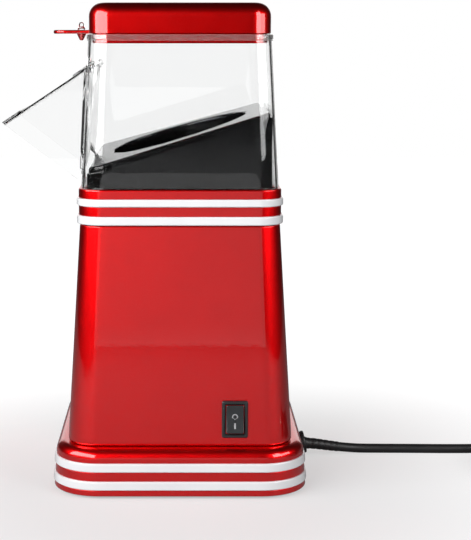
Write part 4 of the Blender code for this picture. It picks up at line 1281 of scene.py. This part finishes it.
@dataclass
class Chamber:
    """The aluminium popping cup with a ring of slanted air louvres."""

    radius: float = 0.0390
    bottom: float = 0.1160
    top: float = 0.1762
    wall: float = 0.0012
    flange: float = 0.0470
    louvres: int = 12
    louvre_width: int = 2                # columns in each louvre
    louvre_rise: tuple[float, float] = (0.012, 0.024)
    slant: float = 0.16                  # radians from a louvre's foot to its head
    columns: int = 144

    def build(self, shop: Workshop) -> None:
        """Make the cup. Its grid is twisted by height where the louvres are cut, so that they slant.

        Args:
            shop: Makes the pieces.
        """
        low, high = (self.bottom + rise for rise in self.louvre_rise)
        outer = self.radius + self.wall
        foot = [(0.0006, self.bottom), (0.018, self.bottom), (outer - 0.006, self.bottom),
                (outer - 0.0018, self.bottom + 0.0018), (outer, self.bottom + 0.006)]
        slots = [(outer, height) for height in np.linspace(low, high, 5)]
        head = [(outer, 0.150), (outer, self.top - 0.002), (outer + 0.0006, self.top - 0.0006),
                (outer + 0.002, self.top), (self.flange, self.top)]
        profile = np.array([*foot, *slots, *head])
        grid = lathe(profile, self.columns)
        twist = smooth_step(profile[:, 1], low, high)[:, None] * self.slant
        bearing = np.arctan2(grid[..., 1], grid[..., 0]) + twist
        size = np.hypot(grid[..., 0], grid[..., 1])
        grid = np.stack([size * np.cos(bearing), size * np.sin(bearing), grid[..., 2]], axis=-1)
        keep = np.ones((len(profile) - 1, self.columns), bool)
        every = self.columns // self.louvres
        for shift in range(self.louvre_width):
            keep[len(foot):len(foot) + len(slots) - 1, shift::every] = False
        shop.piece("popping_cup", Surface().grid(grid, first_cap=True, keep=keep), Body.BASE, Slot.ALUMINIUM,
                   ("popping_chamber",), wall=self.wall)


# ---- switch ----
@dataclass
class Switch:
    """The rocker switch on the near wall, leaning with it, with a ring and a bar as its marks."""

    x: float = 0.0326
    z: float = 0.0463
    wall_half: float = 0.066575
    lean: float = -math.atan(Casing.taper)
    tilt: float = math.radians(-8.0)
    bezel: tuple[float, float, float] = (0.00775, 0.0111, 0.0018)
    window_half: float = 0.0055
    well: float = 0.0060
    well_wall: float = 0.0010
    rocker: tuple[float, float] = (0.0052, 0.0083)
    valley: float = 0.0020
    valley_round: float = 0.0008
    mark_lift: float = 0.00006
    mark_root: float = 0.0001
    ring_centre: float = 0.0015
    ring_radii: tuple[float, float] = (0.00180, 0.00112)
    bar_centre: float = -0.0038
    bar: tuple[float, float, float] = (0.00050, 0.0017, 0.00012)

    def build(self, shop: Workshop) -> None:
        """Make the bezel with its well, the rocker and the two marks.

        Args:
            shop: Makes the pieces.
        """
        mount = frame_of((self.x, -self.wall_half, self.z), tilt_x=self.lean)
        half_x, half_z, thick = self.bezel
        frame_width = half_x - self.window_half
        well_outside = frame_width - self.well_wall
        # from the wall, over the bezel's bevelled face, down into the well and back outside it
        profile = np.array([(0.0, 0.0), (0.0, thick - 0.0005), (0.0005, thick), (frame_width - 0.0007, thick),
                            (frame_width, thick - 0.0006), (frame_width, -self.well),
                            (well_outside, -self.well), (well_outside, 0.0)])
        inset, out = profile[:, 0], profile[:, 1]
        plan = rounded_rectangle(half_x - inset, half_z - inset, np.maximum(0.0011 - 0.4 * inset, 0.0003), 4)
        ring = np.stack([plan[..., 0], -np.broadcast_to(out[:, None], plan.shape[:2]), plan[..., 1]], axis=-1)
        shop.piece("switch_bezel", Surface().grid(put(ring, mount), wrap_rows=True), Body.BASE,
                   Slot.SWITCH_PLASTIC, ("switch_housing",), edge=0.00012)
        pivot = (mount[0] @ frame_of((0.0, 0.0, 0.0), tilt_x=self.tilt)[0],
                 put(np.array([0.0, -0.0005, 0.0]), mount))
        self.build_rocker(shop, pivot)
        self.build_marks(shop, pivot)

    def face(self, height: np.ndarray) -> np.ndarray:
        """How far the rocker's face stands out: a valley, sqrt(z * z + r * r) - r, times its slope."""
        depth = np.sqrt(height ** 2 + self.valley_round ** 2) - self.valley_round
        return self.valley + depth * math.tan(-self.tilt)

    def build_rocker(self, shop: Workshop, pivot: Place) -> None:
        """Make the rocker: rounded-rectangle rings from its back to its face, domed to the valley.

        Args:
            shop: Makes the pieces.
            pivot: The rocker's own place and turn.
        """
        half_x, half_z = self.rocker
        angle = np.linspace(0.0, math.pi / 2, 5)
        edge = 0.0005
        face_insets = np.linspace(0.0009, half_x - 0.00005, 7)
        inset = np.concatenate([[0.0012, 0.0002, 0.0], edge * (1.0 - np.cos(angle)), face_insets])
        drop = np.concatenate([[0.0046, 0.0030, 0.0014], edge * (1.0 - np.sin(angle)), np.zeros(7)])
        plan = rounded_rectangle(half_x - inset, half_z - inset, np.maximum(0.0008 - 0.3 * inset, 0.0001), 4)
        back = np.array([0.2, 0.7] + [1.0] * (len(inset) - 2))[:, None]
        out = self.face(plan[..., 1]) * back - drop[:, None]
        rings = np.stack([plan[..., 0], -out, plan[..., 1]], axis=-1)
        # the last ring is an upright slot a tenth of a millimetre wide, closed by one narrow face
        surface = Surface().grid(put(rings, pivot), first_cap=True, last_cap=True)
        shop.piece("rocker_key", surface, Body.ROCKER, Slot.SWITCH_PLASTIC, ("switch_rocker",), sharp=50.0)

    def build_marks(self, shop: Workshop, pivot: Place) -> None:
        """Make the ring and the bar as thin raised prints that follow the rocker's face.

        Args:
            shop: Makes the pieces.
            pivot: The rocker's own place and turn.
        """
        lift, root = self.mark_lift, -self.mark_root
        around = np.linspace(0.0, math.tau, 40, endpoint=False)
        radii = np.repeat(self.ring_radii, 2)[:, None]
        x = radii * np.cos(around)
        z = self.ring_centre + radii * np.sin(around)
        ring = np.stack([x, -(self.face(z) + np.array([[root], [lift], [lift], [root]])), z], axis=-1)
        shop.piece("mark_ring", Surface().grid(put(ring, pivot), wrap_rows=True), Body.ROCKER, MARK_INK)
        inset = np.array([0.0, 0.0, 0.00004])
        half_x, half_z, corner = self.bar
        plan = rounded_rectangle(half_x - inset, half_z - inset, corner - inset / 2, 3)
        height = plan[..., 1] + self.bar_centre
        out = self.face(height) + np.array([[root], [lift * 0.7], [lift]])
        bar = np.stack([plan[..., 0], -out, height], axis=-1)
        shop.piece("mark_bar", Surface().grid(put(bar, pivot), first_cap=True, last_cap=True), Body.ROCKER,
                   MARK_INK)


# ---- mains lead ----
@dataclass
class MainsLead:
    """The strain relief, the lead on the table, its coil and tie, and the plug."""

    diameter: float = 0.0060
    length: float = 0.81
    relief_centre: tuple[float, float, float] = (0.0801, 0.0100, 0.0098)
    relief_tilt: float = math.radians(-11.0)
    sleeve: tuple[tuple[float, float, float], ...] = (
        (0.0800, 0.0100, 0.0090), (0.0880, 0.0110, 0.0082), (0.0960, 0.0125, 0.0067),
        (0.1040, 0.0140, 0.0053))
    route: tuple[tuple[float, float, float], ...] = (
        (0.1043, 0.01406, 0.00525), (0.1100, 0.0152, 0.0044), (0.1180, 0.0166, 0.0035),
        (0.1300, 0.0175, 0.0031), (0.1450, 0.0176, 0.0030), (0.1600, 0.0173, 0.0030),
        (0.1750, 0.0170, 0.0030), (0.1930, 0.0170, 0.0031), (0.2115, 0.0170, 0.0036))
    coil_centre: tuple[float, float] = (0.2330, -0.0190)
    coil_radii: tuple[float, float] = (0.0300, 0.0360)
    coil_levels: tuple[float, float] = (0.0039, 0.0099)
    coil_turns: float = 3.25
    tail: tuple[tuple[float, float, float], ...] = (
        (0.2691, -0.0300, 0.0099), (0.2692, -0.0404, 0.0099), (0.2693, -0.0445, 0.0101),
        (0.2693, -0.0488, 0.0106), (0.2692, -0.0529, 0.0110))
    into_plug: tuple[float, float, float] = (0.2692, -0.0560, 0.0110)
    spacing: float = 0.003
    turn_points: int = 44
    shift_turns: float = 0.30
    shift_in: float = 0.70
    shift_up: float = 1.60
    shift_out: float = 2.50
    flange_radius: float = 0.0072
    tie_bearing: float = math.radians(-150.0)
    tie_half: float = 0.0068
    tie_top: float = 0.0140
    tie_thick: float = 0.0005
    tie_width: float = 0.0060

    def coil(self) -> list[tuple[float, float, float]]:
        """The coil's turns, clockwise from above.

        The lead lies in the lower outer turn, eases into the lower inner one, rises to the upper inner one
        and eases out to the upper outer one. Each change takes shift_turns of a turn and comes a little
        before the strand that it would meet.

        Returns:
            The coil's points.
        """
        inner, outer = self.coil_radii
        low, high = self.coil_levels
        turn = np.linspace(0.0, self.coil_turns, round(self.coil_turns * self.turn_points) + 1)
        inward, upward, outward = (smooth_step(turn, start, start + self.shift_turns)
                                   for start in (self.shift_in, self.shift_up, self.shift_out))
        radius = outer - (outer - inner) * (inward - outward)
        height = low + (high - low) * upward
        bearing = math.pi / 2 - math.tau * turn
        x = self.coil_centre[0] + radius * np.cos(bearing)
        y = self.coil_centre[1] + radius * np.sin(bearing)
        return list(zip(x.tolist(), y.tolist(), height.tolist()))

    def centreline(self) -> np.ndarray:
        """The whole lead, from inside the sleeve to the plug, as one smooth curve.

        Returns:
            An array (points, 3).
        """
        coil = self.coil()
        start = catmull_rom([self.sleeve[-2], *self.route, coil[0]], self.spacing)[:-1]
        start = start[start[:, 0] > self.sleeve[-1][0] - 0.004]
        finish = catmull_rom([coil[-1], *self.tail, self.into_plug], self.spacing)[1:]
        return np.vstack([start, coil, finish])

    def build(self, shop: Workshop) -> None:
        """Args:
            shop: Makes the pieces.
        """
        path = self.centreline()
        radius = np.full(len(path), self.diameter / 2)
        tube = Surface().grid(sweep(path, radius)[:, ::-1], first_cap=True, last_cap=True)
        lead = shop.piece("mains_lead", tube, Body.BASE, Slot.CORD_RUBBER,
                          ("power_cord", "cord_coil", "cord_tail"))
        relief = self.build_relief(shop)
        tie = self.build_tie(shop)
        plug, pins = Plug().build(shop)
        leave = to_world(np.array(self.sleeve[-1]))

    def build_relief(self, shop: Workshop) -> bpy.types.Object:
        """The strain relief: a tilted flange with a domed face, and a tapered sleeve with shallow rings.

        The sleeve's radius falls evenly along it, less a ripple where a sine is above 0, and swells where it
        meets the flange.

        Args:
            shop: Makes the pieces.

        Returns:
            The piece.
        """
        radius = self.flange_radius
        flange = np.array([(0.0004, -0.0014), (radius - 0.0008, -0.0014), (radius, -0.0008), (radius, 0.0006),
                           (radius - 0.0004, 0.0012), (radius - 0.0017, 0.0014), (0.0004, 0.0016)])
        disc = put(lathe(flange, 48), frame_of(self.relief_centre, tilt_y=math.pi / 2 + self.relief_tilt))
        boss = put(lathe(np.array([(0.0004, -0.0105), (0.0050, -0.0105), (0.0050, 0.0)]), 40),
                   frame_of(self.relief_centre, tilt_y=math.pi / 2))
        path = catmull_rom(list(self.sleeve), 0.0006)
        share = np.linspace(0.0, 1.0, len(path))
        ribs = np.clip(np.sin(share * math.tau * 6.0), 0.0, 1.0) * 0.00018
        size = 0.0037 - 0.0005 * share - ribs * (share > 0.15) * (share < 0.9)
        size[-2:] -= np.array([0.0001, 0.0003])
        size[:6] += 0.0011 * (1.0 - np.arange(6) / 6.0) ** 2
        surface = Surface()
        for grid in (disc, boss, sweep(path, size, 28)[:, ::-1]):
            surface.grid(grid, first_cap=True, last_cap=True)
        return shop.piece("lead_relief", surface, Body.BASE, Slot.CORD_RUBBER, ("strain_relief",))

    def build_tie(self, shop: Workshop) -> bpy.types.Object:
        """The strap round the coil: a flat section carried round a rounded rectangle in an upright plane.

        Args:
            shop: Makes the pieces.

        Returns:
            The piece.
        """
        middle = sum(self.coil_radii) / 2
        half_height = self.tie_top / 2
        out = np.array([0.0, 0.0, self.tie_thick, self.tie_thick])
        side = np.array([-1.0, 1.0, 1.0, -1.0]) * self.tie_width / 2
        plan = rounded_rectangle(self.tie_half + out, half_height - 0.0002 + out, self.diameter / 2 + out, 6)
        wide = np.broadcast_to(side[:, None], plan.shape[:2])
        ring = np.stack([plan[..., 0], wide, plan[..., 1] + half_height + 0.0004], axis=-1)
        centre = (self.coil_centre[0] + middle * math.cos(self.tie_bearing),
                  self.coil_centre[1] + middle * math.sin(self.tie_bearing), 0.0)
        placed = put(ring, frame_of(centre, turn_z=self.tie_bearing))
        return shop.piece("lead_tie", Surface().grid(placed, wrap_rows=True), Body.BASE, Slot.CORD_RUBBER,
                          ("cord_tie",), edge=0.0001)


@dataclass
class Plug:
    """A flat moulded plug with a ribbed tail and two round pins, pointing along -Y."""

    x: float = 0.2692
    z: float = 0.0110
    tail_y: float = -0.0535
    tail_length: float = 0.0120
    length: float = 0.0360
    width: float = 0.0340
    height: float = 0.0210
    tail_radius: float = 0.0038
    tail_growth: float = 0.0012
    neck_radius: float = 0.0050
    front_round: float = 0.0030
    rib_depth: float = 0.0003
    rib_count: int = 4
    waist_depth: float = 0.07
    pin_spacing: float = 0.0190
    pin_length: float = 0.0190
    pin_radius: float = 0.0024

    def build(self, shop: Workshop) -> tuple[bpy.types.Object, list[bpy.types.Object]]:
        """Make the plug's body and its pins.

        Args:
            shop: Makes the pieces.

        Returns:
            The plug and its pins.
        """
        plug = shop.piece("plug_body", Surface().grid(self.body(), first_cap=True, last_cap=True), Body.BASE,
                          Slot.CORD_RUBBER, ("mains_plug",))
        face = self.tail_y - self.tail_length - self.length - GAP
        pins = []
        for number, side in ((1, -1.0), (2, 1.0)):
            where = frame_of((self.x + side * self.pin_spacing / 2, face, self.z), tilt_x=math.pi / 2)
            pin = Surface().grid(put(self.pin(), where), first_cap=True, last_cap=True)
            pins.append(shop.piece(f"plug_prong_{number}", pin, Body.BASE, Slot.BRASS,
                                   (f"plug_pin_{number}",)))
        return plug, pins

    def body(self) -> np.ndarray:
        """The plug's sections, rounded rectangles from the tail's end to the front face.

        Their halves grow from the tail's by a smooth step, narrow a little at a waist (a bell curve) and
        close in an ellipse at the front face. The tail carries shallow rings (a sine).

        Returns:
            A grid (sections, points, 3).
        """
        whole = self.tail_length + self.length
        spacing = (1.0 - np.cos(np.linspace(0.0, math.pi, 29)[1:])) / 2
        tail_along = np.linspace(0.0, self.tail_length, 33)
        along = np.concatenate([tail_along, self.tail_length + self.length * spacing])
        share = along / self.tail_length
        grow = smooth_step(along, self.tail_length * 0.62, self.tail_length + 0.0110)
        into_front = np.clip((along - whole + self.front_round) / self.front_round, 0.0, 1.0)
        draw_in = self.front_round * (1.0 - np.sqrt(1.0 - into_front ** 2))
        ribs = np.where(share < 0.8, self.rib_depth * np.sin(share * math.tau * self.rib_count), 0.0)
        tail = self.tail_radius + ribs + self.tail_growth * share
        small = np.where(share < 1.0, tail, self.neck_radius)
        waist = 1.0 - self.waist_depth * np.exp(-((along - self.tail_length - 0.021) / 0.009) ** 2)
        half_x = small + (self.width / 2 * waist - small) * grow - draw_in
        half_z = small + (self.height / 2 - small) * grow - draw_in
        corner = np.minimum(half_x, half_z) * (1.0 - 0.40 * grow) - 0.00001
        plan = rounded_rectangle(half_x, half_z, corner, 8)
        y = np.broadcast_to((self.tail_y - along)[:, None], plan.shape[:2])
        return np.stack([self.x + plan[..., 0], y, self.z + plan[..., 1]], axis=-1)

    def pin(self) -> np.ndarray:
        """One pin, upright from the origin: a straight shank under a domed tip, r cos a and 0.8 r sin a.

        Returns:
            A grid (rows, columns, 3).
        """
        angle = np.linspace(0.0, math.pi / 2, 7)
        dome = self.pin_length - self.pin_radius * 0.8 * (1.0 - np.sin(angle))
        tip = np.stack([self.pin_radius * np.cos(angle), dome], axis=1)
        tip[-1, 0] = 0.0001
        return lathe(np.vstack([[(0.0002, 0.0), (self.pin_radius, 0.0), (self.pin_radius, 0.010)], tip]), 32)


# ---- studio ----
@dataclass(frozen=True)
class SoftBox:
    """An upright rectangular light.

    Attributes:
        start: Its first lower corner, x and y.
        stop: Its other lower corner, x and y.
        low: The height of its lower edge.
        high: The height of its upper edge.
        radiance: How bright its face is.
    """

    start: tuple[float, float]
    stop: tuple[float, float]
    low: float
    high: float
    radiance: float

    def place(self, name: str) -> None:
        """Add the light, facing the machine.

        Args:
            name: The light's name.
        """
        start, stop = np.array(self.start), np.array(self.stop)
        width, height = float(np.linalg.norm(stop - start)), self.high - self.low
        data = bpy.data.lights.new(name, "AREA")
        data.shape = "RECTANGLE"
        data.size, data.size_y = width, height
        data.energy = self.radiance * math.pi * width * height
        item = bpy.data.objects.new(name, data)
        middle = (start + stop) / 2
        item.location = to_world(np.array([*middle, (self.low + self.high) / 2])).tolist()
        along = (stop - start) / width
        turn = math.atan2(along[1], along[0])
        facing = np.array([-along[1], along[0]])
        if float(facing @ middle) > 0.0:
            turn += math.pi
        item.rotation_euler = (math.pi / 2, 0.0, turn)
        bpy.context.scene.collection.objects.link(item)


@dataclass
class Studio:
    """A pale floor, soft boxes at both sides, a low card in front, a white backdrop and the camera."""

    eye: tuple[float, float, float] = (0.0, -0.880, 0.2736)
    pitch: float = math.radians(9.5917)
    lens: float = 94.29
    shift: float = 0.1028
    floor: tuple[float, float, float, float] = (-0.75, 0.75, -1.55, 2.2)
    boxes: tuple[SoftBox, ...] = (
        SoftBox((-0.28, -1.06), (-0.88, -0.12), 0.23, 0.88, 6.9),
        SoftBox((0.66, -0.96), (0.80, -0.50), 0.23, 0.88, 6.2),
        SoftBox((0.80, -0.50), (0.92, -0.10), 0.26, 0.56, 4.5),
        SoftBox((-0.40, -0.97), (0.40, -0.97), 0.002, 0.20, 0.50))
    floor_pale: Colour = (0.33, 0.33, 0.335)
    # painted shade: the floor's colour far in front of the machine, dark where less light would fall
    floor_painted_shade: Colour = (0.04, 0.04, 0.04)
    floor_shade_fade: tuple[float, float] = (-1.55, -0.70)   # Y where the floor turns from painted shade (dark, far in front) to pale
    # painted light: the floor's glow, least near the machine and brighter away from it
    glow_centre: float = 0.10                          # how far in front of the axis the painted glow is least
    glow_reach: tuple[float, float] = (0.05, 0.45)
    glow: tuple[float, float] = (0.46, 1.0)
    ambient: float = 0.012
    backdrop: float = 1.0
    backdrop_edge: tuple[float, float] = (0.88, 0.93)  # a direction's Y where the backdrop begins

    def camera(self) -> None:
        """Place the camera level with the hood, a little downcast, with the machine left of the middle."""
        data = bpy.data.cameras.new("camera")
        data.lens = self.lens
        data.sensor_width = 36.0
        data.shift_x = self.shift
        data.clip_start = 0.01
        item = bpy.data.objects.new("camera", data)
        item.location = to_world(np.array(self.eye)).tolist()
        item.rotation_euler = (math.pi / 2 - self.pitch, 0.0, 0.0)
        bpy.context.scene.collection.objects.link(item)
        bpy.context.scene.camera = item

    def ground(self) -> None:
        """A flat floor, matt and pale grey, with painted shade that darkens its colour far in front, and a
        painted glow, seen only by camera and transmission rays, more so far from the machine.
        """
        x0, x1, y0, y1 = self.floor
        grid = np.array([[(x0, y0, 0.0), (x1, y0, 0.0)], [(x0, y1, 0.0), (x1, y1, 0.0)]])
        item = bpy.data.objects.new("floor", Surface().grid(grid, wrap_columns=False).mesh("floor"))
        bpy.context.scene.collection.objects.link(item)
        graph = Graph("floor")
        # painted shade: the floor's colour turns dark far in front of the machine
        along = graph.add("ShaderNodeSeparateXYZ", {"Vector": graph.place}).outputs["Y"]
        near = graph.spread(along, self.floor_shade_fade, 0.0, 1.0)
        graph.feed("Base Color", graph.blend(near, self.floor_painted_shade, self.floor_pale))
        # painted light: an emission that only camera and transmission rays see, least near the machine and
        # brighter away from it
        moved = graph.add("ShaderNodeVectorMath", {0: graph.place}, operation="ADD")
        moved.inputs[1].default_value = (0.0, self.glow_centre, 0.0)
        away = graph.add("ShaderNodeVectorMath", {0: moved.outputs[0]}, operation="LENGTH").outputs["Value"]
        glow = graph.spread(away, self.glow_reach, *self.glow)
        rays = graph.add("ShaderNodeLightPath").outputs
        seen = graph.add("ShaderNodeMath", {0: rays["Is Camera Ray"], 1: rays["Is Transmission Ray"]},
                         operation="MAXIMUM").outputs[0]
        lit = graph.add("ShaderNodeMath", {0: glow, 1: seen}, operation="MULTIPLY").outputs[0]
        graph.feed("Emission Strength", lit)
        graph.shader.inputs["Emission Color"].default_value = (1.0, 1.0, 1.0, 1.0)
        graph.shader.inputs["Roughness"].default_value = 0.9
        graph.shader.inputs["Specular IOR Level"].default_value = 0.1
        item.data.materials.append(graph.material)

    def sky(self) -> None:
        """The dark room, with a white backdrop behind the machine: bright where the direction points back."""
        world = bpy.data.worlds.new("studio")
        bpy.context.scene.world = world
        world.use_nodes = True
        tree = world.node_tree
        shade = tree.nodes["Background"]
        shade.inputs["Color"].default_value = (1.0, 1.0, 1.0, 1.0)
        way = tree.nodes.new("ShaderNodeTexCoord")
        split = tree.nodes.new("ShaderNodeSeparateXYZ")
        tree.links.new(way.outputs["Generated"], split.inputs["Vector"])
        back = tree.nodes.new("ShaderNodeMapRange")
        back.interpolation_type = "SMOOTHSTEP"
        tree.links.new(split.outputs["Y"], back.inputs["Value"])
        for name, value in (("From Min", self.backdrop_edge[0]), ("From Max", self.backdrop_edge[1]),
                            ("To Min", self.ambient), ("To Max", self.backdrop)):
            back.inputs[name].default_value = value
        path = tree.nodes.new("ShaderNodeLightPath")
        seen = tree.nodes.new("ShaderNodeMath")
        seen.operation = "MAXIMUM"
        tree.links.new(back.outputs["Result"], seen.inputs[0])
        tree.links.new(path.outputs["Is Camera Ray"], seen.inputs[1])
        tree.links.new(seen.outputs[0], shade.inputs["Strength"])

    def build(self) -> None:
        """Set up the whole studio."""
        self.camera()
        self.ground()
        self.sky()
        for number, box in enumerate(self.boxes, 1):
            box.place(f"soft_box_{number}")
        view = bpy.context.scene.view_settings
        view.view_transform = "Standard"
        view.look = "None"


def main() -> None:
    """Build the studio and the machine, and dress the imported nodes that are still shown."""
    logging.basicConfig(level=logging.INFO, format="%(message)s")
    Studio().build()
    shop = Workshop()
    for part in (MainsLead(), Plinth(), Casing(), Hood(), Flap(), Cap(), Insert(), Chamber(), Switch()):
        part.build(shop)
    shop.dress_nodes()


if __name__ == "__main__":
    main()
